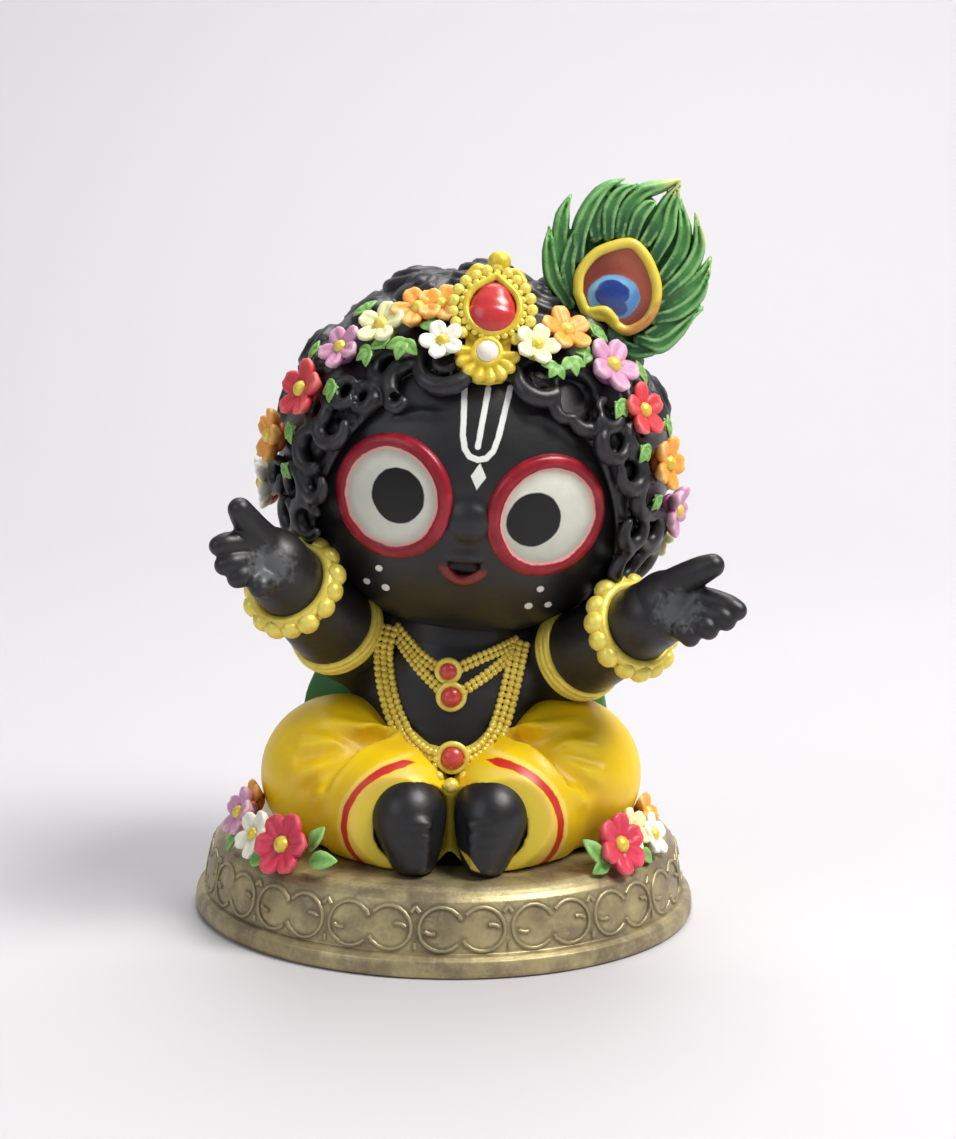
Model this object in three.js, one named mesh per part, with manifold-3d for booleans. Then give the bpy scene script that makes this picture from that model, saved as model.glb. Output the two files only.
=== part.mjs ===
// A small painted casting: a seated figure with a large round head and round eyes, curled hair,
// a flower garland, a crown jewel and a feather, on a low round plinth with an ornament band.
// Millimetres, +Z up. The figure looks along -Y, and +X is on the viewer's right.
// The origin is the middle of the plinth's underside.

import * as THREE from 'three';
import { mergeVertices } from 'three/addons/utils/BufferGeometryUtils.js';
import Module from 'manifold-3d';

const wasm = await Module();
wasm.setup();

// Plinth
const PLINTH_RADIUS = 30;
const PLINTH_HEIGHT = 9.5;
const FOOT_BAND_HEIGHT = 2.4;
const FOOT_LEDGE = 1.3;
const RIM_HEIGHT = 1.9;
const RIM_SETBACK = 2.1;
const BAND_TAPER = 0.9;
const EDGE_EASE = 0.4;
const ORNAMENT_COUNT = 34;
const ORNAMENT_RELIEF = 0.45;
const ORNAMENT_STROKE = 0.62;
const ORNAMENT_GAP = 0.5;

// Head: an egg that leans to the viewer's right
const HEAD_WIDTH = 43;
const HEAD_DEPTH = 40;
const HEAD_HEIGHT = 41;
const HEAD_LIFT = 44.2;
const HEAD_SHIFT = 2.7;
const HEAD_SETBACK = 1;
const HEAD_LEAN = 6.5;

// Face
const EYE_RADIUS = 7.1;
const EYE_RIM_WIDTH = 1.6;
const EYE_RELIEF = 0.9;
const EYE_SEAT = 3;
const NOSE_RADIUS = 2.1;
const MOUTH_WIDTH = 5.6;

// Hair, garland, crown jewel and feather
const HAIR_DEPTH = 1.7;
const LOCK_RELIEF = 1.7;
const LOCK_SPAN = 17;
const CURL_RADIUS = 1.7;
const BLOSSOM_RADIUS = 2.9;
const BLOSSOM_DEPTH = 3.4;
const GARLAND_CORD_RADIUS = 1.2;
const JEWEL_WIDTH = 8.4;
const JEWEL_DEPTH = 5;
const JEWEL_LEAN = 24;
const JEWEL_SCALLOP = 0.65;
const FEATHER_THICKNESS = 2.4;
const FEATHER_REACH = 12.9;
const FEATHER_LEAN = 27;
const FEATHER_BARBS = 11;

// Trunk and cloth
const TORSO_RADIUS = 12.2;
const NECK_OVERLAP = 3.3;
const TORSO_HEIGHT = HEAD_LIFT - HEAD_HEIGHT / 2 + NECK_OVERLAP;
const CAPE_WIDTH = 38;
const CAPE_DEPTH = 14;
const CAPE_HEIGHT = 21;
const CAPE_SETBACK = 2.5;

// Arms, hands and their rings
const ARM_LENGTH = 22.6;
const ARM_RADIUS = 5;
const WRIST_RADIUS = 4.1;
const BRACELET_RELIEF = 1.9;
const BRACELET_SCALLOPS = 6;
const ARMLET_RELIEF = 0.9;
const FINGER_RADIUS = 1.35;
const NECKLACE_BEAD = 1.1;

// Legs and feet
const KNEE_WIDTH = 19;
const KNEE_DEPTH = 21;
const KNEE_HEIGHT = 18.4;
const CUFF_RADIUS = 5.6;
const CUFF_FLARE = 2.8;
const CUFF_LENGTH = 8;
const FOOT_WIDTH = 8.8;
const FOOT_HEIGHT = 12.2;
const FOOT_DEPTH = 11;
const SEAT_WIDTH = 31;
const SEAT_DEPTH = 24;
const SEAT_HEIGHT = 19;

// Glue line under the figure, and the fit between the plinth's flowers and the legs
const GLUE_LINE = 0.2;
const CLEARANCE = 0.3;

const FRONT = new THREE.Vector3(0, -1, 0);
const UP = new THREE.Vector3(0, 0, 1);
const SIDES = [-1, 1];

const vec = (x, y, z) => new THREE.Vector3(x, y, z);
const radians = THREE.MathUtils.degToRad;

// Turns a geometry into a solid with shared corners, without slivers, faces outward
function toSolid(geometry) {
  const bare = geometry.clone();
  bare.deleteAttribute('normal');
  bare.deleteAttribute('uv');
  const merged = mergeVertices(bare, 1e-4);
  const corners = merged.attributes.position;
  const index = merged.index.array;
  const a = vec();
  const b = vec();
  const c = vec();
  const triangles = [];
  let volume = 0;
  for (let i = 0; i < index.length; i += 3) {
    const [p, q, r] = [index[i], index[i + 1], index[i + 2]];
    if (p === q || q === r || r === p) continue;
    triangles.push(p, q, r);
    a.fromBufferAttribute(corners, p);
    b.fromBufferAttribute(corners, q);
    c.fromBufferAttribute(corners, r);
    volume += a.dot(b.cross(c));
  }
  if (volume < 0) triangles.reverse();
  const vertProperties = new Float32Array(corners.array);
  const triVerts = Uint32Array.from(triangles);
  return new wasm.Manifold(new wasm.Mesh({ numProp: 3, vertProperties, triVerts }));
}

function toGeometry(solid) {
  const mesh = solid.getMesh();
  const geometry = new THREE.BufferGeometry();
  geometry.setAttribute('position', new THREE.BufferAttribute(mesh.vertProperties, 3));
  geometry.setIndex(new THREE.BufferAttribute(mesh.triVerts, 1));
  geometry.computeVertexNormals();
  return geometry;
}

const join = (solids) => solids.reduce((whole, next) => whole.add(next));

// The frame at a place: its Z looks along facing, and its Y leans towards up
function frameAt(place, facing, up = UP) {
  const z = facing.clone().normalize();
  const y = up.clone().addScaledVector(z, -up.dot(z)).normalize();
  const x = y.clone().cross(z);
  return new THREE.Matrix4().makeBasis(x, y, z).setPosition(place);
}

function placed(geometry, frame) {
  return toSolid(geometry.clone().applyMatrix4(frame));
}

// An egg with its poles along Z
function egg(radii, wide = 12, high = 8) {
  const geometry = new THREE.SphereGeometry(1, wide, high);
  geometry.rotateX(Math.PI / 2);
  return geometry.scale(radii.x, radii.y, radii.z);
}

// A bead with few faces, for the many small beads
const bead = (place, radius) => toSolid(
  new THREE.IcosahedronGeometry(radius, 0).translate(place.x, place.y, place.z),
);

// A turned form about Z from (radius, height) pairs that start and end on the axis
function turned(profile, sides) {
  const points = profile.map(([radius, height]) => new THREE.Vector2(radius, height));
  return new THREE.LatheGeometry(points, sides).rotateX(Math.PI / 2);
}

function circle(radius, sides) {
  const shape = new THREE.Shape();
  for (let i = 0; i < sides; i += 1) {
    const angle = (2 * Math.PI * i) / sides;
    const [x, y] = [radius * Math.cos(angle), radius * Math.sin(angle)];
    if (i === 0) shape.moveTo(x, y);
    else shape.lineTo(x, y);
  }
  shape.closePath();
  return shape;
}

function tube(points, radius, sides, steps) {
  const extrudePath = new THREE.CatmullRomCurve3(points);
  return toSolid(new THREE.ExtrudeGeometry(circle(radius, sides), { steps, extrudePath }));
}

// The head's own frame, and the places on its egg-shaped skin

const headRadii = vec(HEAD_WIDTH / 2, HEAD_DEPTH / 2, HEAD_HEIGHT / 2);
const headFrame = new THREE.Matrix4()
  .makeRotationY(radians(HEAD_LEAN))
  .setPosition(HEAD_SHIFT, -HEAD_SETBACK, HEAD_LIFT);

// A place on the skin from its shares of the half width and half height, seen from the front
function onFace(across, up, lift = 0) {
  const depth = Math.sqrt(Math.max(0, 1 - across * across - up * up));
  return onSkin(vec(across, -depth, up), lift);
}

// A place on the skin from its turn from the front and its height angle, both in degrees
const onCrown = (turn, height, lift = 0) => onSkin(crownShare(turn, height), lift);

function crownShare(turn, height) {
  const level = Math.cos(radians(height));
  const [across, back] = [Math.sin(radians(turn)), -Math.cos(radians(turn))];
  return vec(level * across, level * back, Math.sin(radians(height)));
}

function onSkin(share, lift) {
  const place = share.clone().multiply(headRadii);
  const facing = share.clone().divide(headRadii).normalize();
  place.addScaledVector(facing, lift);
  return { place: place.applyMatrix4(headFrame), facing: facing.transformDirection(headFrame) };
}

const headUp = UP.clone().transformDirection(headFrame);

function makeEye(side) {
  const { place, facing } = onFace(side * 0.402 - 0.01, -0.14);
  const sag = (radius) => (radius * radius) / HEAD_DEPTH;
  const white = EYE_RADIUS - EYE_RIM_WIDTH;
  const profile = [
    [0, -EYE_SEAT],
    [EYE_RADIUS, -EYE_SEAT],
    [EYE_RADIUS, EYE_RELIEF / 2 - sag(EYE_RADIUS)],
    [EYE_RADIUS - EYE_RIM_WIDTH / 2, EYE_RELIEF - sag(EYE_RADIUS)],
    [white, EYE_RELIEF / 2 - sag(white)],
    [0, EYE_RELIEF / 2],
  ];
  return placed(turned(profile, 12), frameAt(place, facing, headUp));
}

function makeFace() {
  const skin = placed(egg(headRadii, 15, 9), headFrame);
  const noseSpot = onFace(0.01, -0.22);
  const nose = egg(vec(NOSE_RADIUS, NOSE_RADIUS, NOSE_RADIUS * 0.62), 7, 4);
  const mouthSpot = onFace(0.02, -0.52);
  const mouthFrame = frameAt(mouthSpot.place, mouthSpot.facing, headUp);
  const mouth = egg(vec(MOUTH_WIDTH / 2, MOUTH_WIDTH / 4, MOUTH_WIDTH / 5), 8, 4);
  return join([
    skin.subtract(placed(mouth, mouthFrame)),
    placed(nose, frameAt(noseSpot.place, noseSpot.facing, headUp)),
    ...SIDES.map(makeEye),
  ]);
}

// Garland: its height angle on the head falls from the brow to the nape

const GARLAND_COURSE = [[0, 43], [30, 42], [45, 34], [55, 17], [64, 1], [82, -10], [105, -17],
  [130, -22]];

function garlandHeight(turn) {
  const away = Math.abs(turn);
  const next = GARLAND_COURSE.findIndex(([at]) => at >= away);
  if (next < 1) return GARLAND_COURSE.at(next)[1];
  const [fromTurn, fromHeight] = GARLAND_COURSE[next - 1];
  const [toTurn, toHeight] = GARLAND_COURSE[next];
  return THREE.MathUtils.mapLinear(away, fromTurn, toTurn, fromHeight, toHeight);
}

function garlandCurve(side) {
  const points = GARLAND_COURSE.map(([turn, height]) => (
    onCrown(side * turn, height, HAIR_DEPTH * 1.35).place));
  return new THREE.CatmullRomCurve3(points);
}

// A blossom of five blunt petals, looking along Z, creased between the petals
function blossom(radius) {
  const petals = 5;
  const geometry = new THREE.SphereGeometry(1, petals * 3, 2);
  geometry.rotateX(Math.PI / 2);
  const corners = geometry.attributes.position;
  for (let i = 0; i < corners.count; i += 1) {
    const angle = Math.atan2(corners.getY(i), corners.getX(i));
    const lobe = 0.86 + 0.26 * Math.cos(petals * angle);
    corners.setX(i, corners.getX(i) * lobe * radius);
    corners.setY(i, corners.getY(i) * lobe * radius);
    corners.setZ(i, (corners.getZ(i) * BLOSSOM_DEPTH) / 2);
  }
  return geometry;
}

const makeBlossom = (place, facing, radius, up = UP) => (
  placed(blossom(radius), frameAt(place, facing, up)));

function makeLeaf(place, facing, along, length) {
  const leaf = new THREE.OctahedronGeometry(1, 0);
  leaf.scale(length * 0.32, length / 2, length * 0.36);
  return placed(leaf, frameAt(place, facing, along));
}

// The cord that closes the garland behind the head, around the nape
function makeGarlandCord() {
  const [endTurn, endHeight] = GARLAND_COURSE.at(-1);
  const points = [-1, -0.5, 0, 0.5, 1].map((share) => (
    onCrown(180 + share * (180 - endTurn), endHeight, HAIR_DEPTH * 1.35).place));
  return tube(points, GARLAND_CORD_RADIUS, 5, 8);
}

function makeGarland() {
  const pieces = [makeGarlandCord()];
  const centre = vec().setFromMatrixPosition(headFrame);
  const spacing = BLOSSOM_RADIUS * 2.9;
  for (const side of SIDES) {
    const curve = garlandCurve(side);
    const count = Math.floor(curve.getLength() / spacing);
    for (let i = 1; i <= count; i += 1) {
      const share = (i - 0.1) / count;
      const spot = curve.getPointAt(share);
      const facing = spot.clone().sub(centre).normalize();
      const along = curve.getTangentAt(share);
      const inward = along.clone().cross(facing).multiplyScalar(side);
      pieces.push(makeBlossom(spot, facing, BLOSSOM_RADIUS, along));
      if (i % 2 === 0) continue;
      const leafSide = i % 4 === 1 ? -1 : 1;
      const leafSpot = curve.getPointAt(Math.max(0, share - 0.5 / count))
        .addScaledVector(inward, leafSide * BLOSSOM_RADIUS * 0.55);
      pieces.push(makeLeaf(leafSpot, facing, inward, BLOSSOM_RADIUS * 1.5));
    }
  }
  return join(pieces);
}

// Hair: a cap that swells into locks over the crown and the back and leaves the face free, with
// ring curls along the brow and the temples

const LOCK_ROWS = [
  { height: 76, count: 3 },
  { height: 49, count: 8 },
  { height: 21, count: 11 },
  { height: -6, count: 11 },
  { height: -46, count: 9 },
];
const BROW_CURLS = [[0.27, 0.56], [0.53, 0.48], [0.76, 0.26], [0.87, -0.1]];

function lockMiddles() {
  const middles = [];
  LOCK_ROWS.forEach(({ height, count }, row) => {
    for (let i = 0; i < count; i += 1) {
      const turn = ((i + (row % 2) / 2) * 360) / count - 180;
      const above = height - garlandHeight(turn);
      const behind = Math.abs(turn) > 80;
      if (above > 12 || (behind && above < -12)) middles.push(crownShare(turn, height));
    }
  });
  return middles;
}

function makeHairCap() {
  const geometry = new THREE.IcosahedronGeometry(1, 5);
  const middles = lockMiddles();
  const corners = geometry.attributes.position;
  const share = vec();
  for (let i = 0; i < corners.count; i += 1) {
    share.fromBufferAttribute(corners, i).normalize();
    const away = Math.min(...middles.map((middle) => share.angleTo(middle)));
    const swell = Math.sqrt(Math.max(0, 1 - (away / radians(LOCK_SPAN)) ** 2));
    const { place } = onSkin(share, HAIR_DEPTH + LOCK_RELIEF * swell);
    corners.setXYZ(i, place.x, place.y, place.z);
  }
  const opening = new THREE.CylinderGeometry(1, 1, HEAD_DEPTH, 14);
  opening.scale(headRadii.x * 0.8, 1, headRadii.z * 0.88);
  opening.translate(0, -HEAD_DEPTH / 2, -headRadii.z * 0.42);
  const underside = new THREE.BoxGeometry(HEAD_WIDTH * 2, HEAD_DEPTH * 2, HEAD_HEIGHT);
  underside.translate(0, 0, -headRadii.z * 1.8);
  return toSolid(geometry)
    .subtract(placed(opening, headFrame))
    .subtract(placed(underside, headFrame));
}

function makeCurls() {
  const hoop = new THREE.TorusGeometry(CURL_RADIUS, CURL_RADIUS * 0.55, 3, 5);
  const curls = [];
  for (const side of SIDES) {
    for (const [across, up] of BROW_CURLS) {
      const { place, facing } = onFace(side * across, up, HAIR_DEPTH * 1.3);
      curls.push(placed(hoop, frameAt(place, facing, headUp)));
    }
  }
  return curls;
}

// Crown jewel: a scalloped drop-shaped plate over a pearl and a scalloped fan, leaning back

const jewelSpot = onFace(-0.015, 0.65, HAIR_DEPTH * 1.6);
const jewelFacing = vec(0, -Math.cos(radians(JEWEL_LEAN)), Math.sin(radians(JEWEL_LEAN)))
  .transformDirection(headFrame);
const jewelFrame = frameAt(jewelSpot.place, jewelFacing, headUp);

// A drop outline, round below and pointed above, with its centre of roundness at the origin
function dropShape(halfWidth, tip, steps = 12, scallop = 0) {
  const shape = new THREE.Shape();
  shape.moveTo(0, tip);
  const open = Math.acos(halfWidth / tip);
  for (let i = 0; i <= steps; i += 1) {
    const angle = Math.PI / 2 + open + ((2 * Math.PI - 2 * open) * i) / steps;
    const radius = halfWidth + (i % 2 ? scallop : 0);
    shape.lineTo(radius * Math.cos(angle), radius * Math.sin(angle));
  }
  shape.closePath();
  return shape;
}

const slab = (shape, depth) => new THREE.ExtrudeGeometry(shape, { depth, bevelEnabled: false });

function makeJewel() {
  const half = JEWEL_WIDTH / 2;
  const dropUp = half * 1.3;
  const plate = slab(dropShape(half, half * 1.35, 16, JEWEL_SCALLOP), JEWEL_DEPTH);
  const rim = slab(dropShape(half * 0.76, half * 1.15, 10), JEWEL_DEPTH);
  const gem = egg(vec(half * 0.55, half * 0.72, JEWEL_DEPTH * 0.52), 7, 4);
  const fan = slab(dropShape(half * 0.72, half * 0.8, 10, JEWEL_SCALLOP), JEWEL_DEPTH);
  const pearl = egg(vec(1, 1, 0.8).multiplyScalar(half * 0.38), 6, 4);
  const finial = vec(0, dropUp + half * 1.45, JEWEL_DEPTH * 0.04).applyMatrix4(jewelFrame);
  return join([
    placed(plate.translate(0, dropUp, -JEWEL_DEPTH * 0.84), jewelFrame),
    placed(rim.translate(0, dropUp, -JEWEL_DEPTH * 0.72), jewelFrame),
    placed(gem.translate(0, dropUp, JEWEL_DEPTH * 0.04), jewelFrame),
    placed(fan.translate(0, -half * 0.2, -JEWEL_DEPTH * 0.8), jewelFrame),
    placed(pearl.translate(0, -half * 0.1, JEWEL_DEPTH * 0.24), jewelFrame),
    bead(finial, JEWEL_SCALLOP * 2.1),
  ]);
}

// Feather: a thick plate with swept barb tips and a raised drop-shaped eye

function featherShape() {
  const spread = 300;
  const pitch = spread / FEATHER_BARBS;
  const points = [];
  for (let i = 0; i <= FEATHER_BARBS; i += 1) {
    const turn = -spread / 2 + i * pitch;
    const reach = FEATHER_REACH * (0.73 + 0.27 * ((1 + Math.cos(radians(turn))) / 2) ** 3);
    const step = turn < 0 ? 1 : -1;
    const barb = [[turn, reach], [turn + step * pitch * 0.28, reach * 0.8]];
    points.push(...(turn < 0 ? barb : barb.reverse()));
  }
  const shape = new THREE.Shape();
  points.forEach(([turn, reach], i) => {
    const [x, y] = [reach * Math.sin(radians(turn)), reach * Math.cos(radians(turn))];
    if (i === 0) shape.moveTo(x, y);
    else shape.lineTo(x, y);
  });
  shape.closePath();
  return shape;
}

function makeFeather() {
  const root = onCrown(62, 45, -FEATHER_THICKNESS * 0.4).place;
  const lean = (degrees) => vec(Math.sin(radians(degrees)), 0, Math.cos(radians(degrees)));
  const middle = root.clone().addScaledVector(lean(FEATHER_LEAN / 3), FEATHER_REACH * 0.72);
  const frame = frameAt(middle, FRONT, lean(FEATHER_LEAN));
  const plate = slab(featherShape(), FEATHER_THICKNESS).translate(0, 0, -FEATHER_THICKNESS / 2);
  const half = FEATHER_REACH * 0.34;
  const rimShape = dropShape(half, half * 1.5, 12);
  rimShape.holes.push(dropShape(half * 0.74, half * 1.1, 8));
  const rim = slab(rimShape, FEATHER_THICKNESS).translate(0, -half * 0.2, 0);
  const pupil = egg(vec(half * 0.45, half * 0.45, FEATHER_THICKNESS * 0.75), 7, 4);
  return join([
    placed(plate, frame),
    placed(rim, frame),
    placed(pupil.translate(0, -half * 0.35, 0), frame),
    tube([root, middle], FEATHER_THICKNESS * 0.7, 5, 1),
  ]);
}

// Trunk and the cloth hanging behind it

const trunkAxis = HEAD_SHIFT * 0.3;
const TRUNK_PROFILE = [[0.86, 0.02], [1, 0.2], [1.02, 0.42], [0.94, 0.66], [0.78, 0.86],
  [0.52, 1]];

function trunkRadiusAt(height) {
  const share = height / TORSO_HEIGHT;
  const next = TRUNK_PROFILE.findIndex(([, at]) => at >= share);
  if (next < 1) return TRUNK_PROFILE[next < 0 ? TRUNK_PROFILE.length - 1 : 0][0] * TORSO_RADIUS;
  const [low, high] = [TRUNK_PROFILE[next - 1], TRUNK_PROFILE[next]];
  return TORSO_RADIUS * THREE.MathUtils.mapLinear(share, low[1], high[1], low[0], high[0]);
}

function makeTrunk() {
  const turns = TRUNK_PROFILE.map(([radius, height]) => (
    [radius * TORSO_RADIUS, height * TORSO_HEIGHT]));
  const profile = [[0, 0], [turns[0][0], 0], ...turns.slice(1), [0, TORSO_HEIGHT]];
  return toSolid(turned(profile, 12).translate(trunkAxis, 0, 0));
}

function makeCape() {
  const folds = 7;
  const geometry = turned([[0, 0], [0.96, 0], [1, 0.12], [0.98, 0.6], [0.92, 0.85], [0.6, 1],
    [0, 1]], folds * 3);
  const corners = geometry.attributes.position;
  for (let i = 0; i < corners.count; i += 1) {
    const angle = Math.atan2(corners.getY(i), corners.getX(i));
    const low = 1 - corners.getZ(i);
    const fold = 1 + 0.06 * low * Math.cos(folds * angle);
    corners.setX(i, corners.getX(i) * fold * (CAPE_WIDTH / 2));
    corners.setY(i, Math.max(corners.getY(i), -0.05) * fold * CAPE_DEPTH);
    corners.setZ(i, corners.getZ(i) * CAPE_HEIGHT);
  }
  return toSolid(geometry.translate(trunkAxis, CAPE_SETBACK, 0));
}

// A place on the front of the trunk, from its distance across and its height
function onTrunk(across, height, lift = 0) {
  const radius = trunkRadiusAt(height);
  const share = THREE.MathUtils.clamp(across / radius, -0.98, 0.98);
  const facing = vec(share, -Math.sqrt(1 - share * share), 0);
  return facing.clone().multiplyScalar(radius + lift).add(vec(trunkAxis, 0, height));
}

function makeNecklaces() {
  const strandAt = (pairs) => pairs.map(([across, height]) => (
    onTrunk(across * TORSO_RADIUS, height * TORSO_HEIGHT, NECKLACE_BEAD * 0.25)));
  const long = strandAt([[-0.66, 0.93], [-0.68, 0.75], [-0.6, 0.56], [-0.32, 0.42], [0, 0.38],
    [0.32, 0.43], [0.56, 0.58], [0.62, 0.75], [0.62, 0.92]]);
  const short = strandAt([[-0.6, 0.93], [-0.28, 0.86], [-0.02, 0.78], [0.3, 0.85], [0.6, 0.92]]);
  const pendants = [[0, 0.43, 1.55], [-0.02, 0.8, 1.2], [0, 0.69, 1.4]];
  const gems = pendants.map(([across, height, size]) => {
    const place = onTrunk(across * TORSO_RADIUS, height * TORSO_HEIGHT, NECKLACE_BEAD * 0.5);
    const gem = egg(vec(1, 1.1, 0.75).multiplyScalar(NECKLACE_BEAD * size), 7, 4);
    return placed(gem, frameAt(place, FRONT));
  });
  const drop = onTrunk(0, TORSO_HEIGHT * 0.33, NECKLACE_BEAD * 0.8);
  return join([
    tube(long, NECKLACE_BEAD, 4, 11),
    tube(short, NECKLACE_BEAD * 0.9, 4, 4),
    ...gems,
    bead(drop, NECKLACE_BEAD),
  ]);
}

// Arms: each is straight from the shoulder to the wrist, with an armlet and a bracelet, and an
// open hand whose palm looks at the viewer

const shoulderAt = (across, up) => (
  vec(across, -0.04, 0).multiplyScalar(TORSO_RADIUS).setZ(up * TORSO_HEIGHT));

const ARMS = [
  {
    side: -1,
    shoulder: shoulderAt(-0.787, 0.785),
    direction: vec(-0.41, -0.73, 0.547),
    length: ARM_LENGTH,
    fingers: [[-1, 0.1, 0.12], [-0.93, 0.1, -0.24], [-0.66, 0.1, -0.58], [-0.26, 0.1, -0.74]],
    thumb: [-0.66, 0.12, 1.04],
  },
  {
    side: 1,
    shoulder: shoulderAt(0.918, 0.733),
    direction: vec(0.54, -0.73, 0.42),
    length: ARM_LENGTH * 0.965,
    fingers: [[1.42, 0.1, 0.02], [1.24, 0.12, -0.3], [0.94, 0.12, -0.5], [0.6, 0.12, -0.72]],
    thumb: [0.86, 0.1, 0.72],
  },
];
const ARMLET_SHARE = 0.4;
const BRACELET_SHARE = 0.86;
const HAND_REACH = 6.4;

// The arm from the shoulder at 0 up its own Z, with the armlet and the bracelet turned onto it
function armGeometry(length) {
  const armlet = length * ARMLET_SHARE;
  const bracelet = length * BRACELET_SHARE;
  const band = WRIST_RADIUS + BRACELET_RELIEF;
  const profile = [
    [0, -ARM_RADIUS],
    [ARM_RADIUS * 0.8, -ARM_RADIUS * 0.6],
    [ARM_RADIUS * 1.08, length * 0.1],
    [ARM_RADIUS, armlet - ARMLET_RELIEF],
    [ARM_RADIUS + ARMLET_RELIEF, armlet],
    [ARM_RADIUS, armlet + ARMLET_RELIEF],
    [WRIST_RADIUS * 1.05, bracelet - BRACELET_RELIEF],
    [band, bracelet - BRACELET_RELIEF * 0.4],
    [WRIST_RADIUS + BRACELET_RELIEF * 0.45, bracelet + BRACELET_RELIEF * 0.5],
    [WRIST_RADIUS, bracelet + BRACELET_RELIEF * 0.7],
    [0, length + WRIST_RADIUS * 0.5],
  ];
  const geometry = turned(profile, BRACELET_SCALLOPS * 2);
  const corners = geometry.attributes.position;
  for (let i = 0; i < corners.count; i += 1) {
    const [x, y] = [corners.getX(i), corners.getY(i)];
    const angle = Math.atan2(y, x);
    const onBand = Math.abs(Math.hypot(x, y) - band) < 1e-3;
    const swell = onBand ? 0.93 + 0.07 * Math.cos(BRACELET_SCALLOPS * angle) : 1;
    corners.setX(i, x * swell);
    corners.setY(i, y * swell);
  }
  return geometry;
}

function makeArm({ side, shoulder, direction, length, fingers, thumb }) {
  const along = direction.clone().normalize();
  const armletFrame = frameAt(shoulder.clone().addScaledVector(along, length * ARMLET_SHARE), along);
  const knob = vec(-side * (ARM_RADIUS + ARMLET_RELIEF), 0, 0).applyMatrix4(armletFrame);
  const pieces = [
    placed(armGeometry(length), frameAt(shoulder, along)),
    bead(knob, ARMLET_RELIEF * 1.5),
  ];
  const wrist = shoulder.clone().addScaledVector(along, length);
  const palmAt = wrist.clone().addScaledVector(vec(side * 0.19, -0.125, 0.09), HAND_REACH);
  const palm = egg(vec(0.72, 1, 0.46).multiplyScalar(HAND_REACH * 0.72), 7, 4);
  pieces.push(placed(palm, frameAt(palmAt, vec(side * 0.2, -1, 0.4))));
  for (const tip of [...fingers, thumb]) {
    const end = wrist.clone().addScaledVector(vec(tip[0], -tip[1] * 4, tip[2]), HAND_REACH);
    const reach = end.clone().sub(palmAt);
    const finger = new THREE.CapsuleGeometry(FINGER_RADIUS, reach.length(), 1, 4);
    finger.rotateX(Math.PI / 2);
    pieces.push(placed(finger, frameAt(palmAt.clone().lerp(end, 0.5), reach)));
  }
  return join(pieces);
}

// Legs: a bulging trouser leg each side, its cuff around an upright foot in front

const kneeAt = (across, up) => (
  vec(across * KNEE_WIDTH, -0.248 * KNEE_DEPTH, up * KNEE_HEIGHT));
const footAt = (across, up) => (
  vec(across * FOOT_WIDTH, -0.867 * KNEE_DEPTH, up * FOOT_HEIGHT));

const LEG_SPOTS = [
  { side: -1, knee: kneeAt(-0.647, 0.402), foot: footAt(-0.443, 0.41) },
  { side: 1, knee: kneeAt(0.716, 0.424), foot: footAt(0.614, 0.418) },
];

function kneeEgg(grown = 0) {
  return vec(KNEE_WIDTH, KNEE_DEPTH, KNEE_HEIGHT).multiplyScalar(0.5).addScalar(grown);
}

function makeTrouserLeg({ side, knee, foot }) {
  const geometry = egg(vec(1, 1, 1), 14, 8);
  const radii = kneeEgg();
  const corners = geometry.attributes.position;
  const spot = vec();
  for (let i = 0; i < corners.count; i += 1) {
    spot.fromBufferAttribute(corners, i);
    const around = Math.atan2(spot.z, side * spot.x + 0.4);
    const fold = 1 - 0.035 * (1 - Math.cos(7 * around)) * Math.max(0, 0.9 - Math.abs(spot.y));
    spot.multiplyScalar(fold).multiply(radii).add(knee);
    corners.setXYZ(i, spot.x, spot.y, spot.z);
  }
  return toSolid(geometry).add(makeCuff({ knee, foot }));
}

// The flared cuff around a foot, grown where it is the room that another piece leaves it
function makeCuff({ knee, foot }, grown = 0) {
  const opening = foot.clone().sub(knee).setZ(0).normalize();
  const radius = CUFF_RADIUS + grown;
  const length = CUFF_LENGTH + 2 * grown;
  const cuff = new THREE.CylinderGeometry(radius, radius + CUFF_FLARE, length, 12);
  cuff.rotateX(Math.PI / 2).scale(1, (FOOT_HEIGHT / FOOT_WIDTH) * 0.86, 1);
  const place = foot.clone().addScaledVector(opening, -CUFF_LENGTH * 0.4);
  return placed(cuff, frameAt(place, opening));
}

function makeFoot({ side, foot }) {
  const body = egg(vec(FOOT_WIDTH, FOOT_DEPTH, FOOT_HEIGHT).multiplyScalar(0.5), 9, 5);
  const pieces = [toSolid(body.translate(foot.x, foot.y, foot.z))];
  const toes = 4;
  for (let i = 0; i < toes; i += 1) {
    const share = i / (toes - 1);
    const size = FOOT_WIDTH * (0.28 - 0.09 * share);
    const up = FOOT_HEIGHT * (0.16 - 0.5 * share);
    const out = -FOOT_DEPTH * (0.4 + 0.08 * Math.sin(Math.PI * share));
    const place = foot.clone().add(vec(-side * FOOT_WIDTH * 0.12, out, up));
    pieces.push(bead(place, size));
  }
  return join(pieces);
}

function makeSeat(grown = 0) {
  const radii = vec(SEAT_WIDTH, SEAT_DEPTH, SEAT_HEIGHT).multiplyScalar(0.5).addScalar(grown);
  return toSolid(egg(radii, 12, 7).translate(trunkAxis, SEAT_DEPTH * 0.125, SEAT_HEIGHT * 0.184));
}

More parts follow.
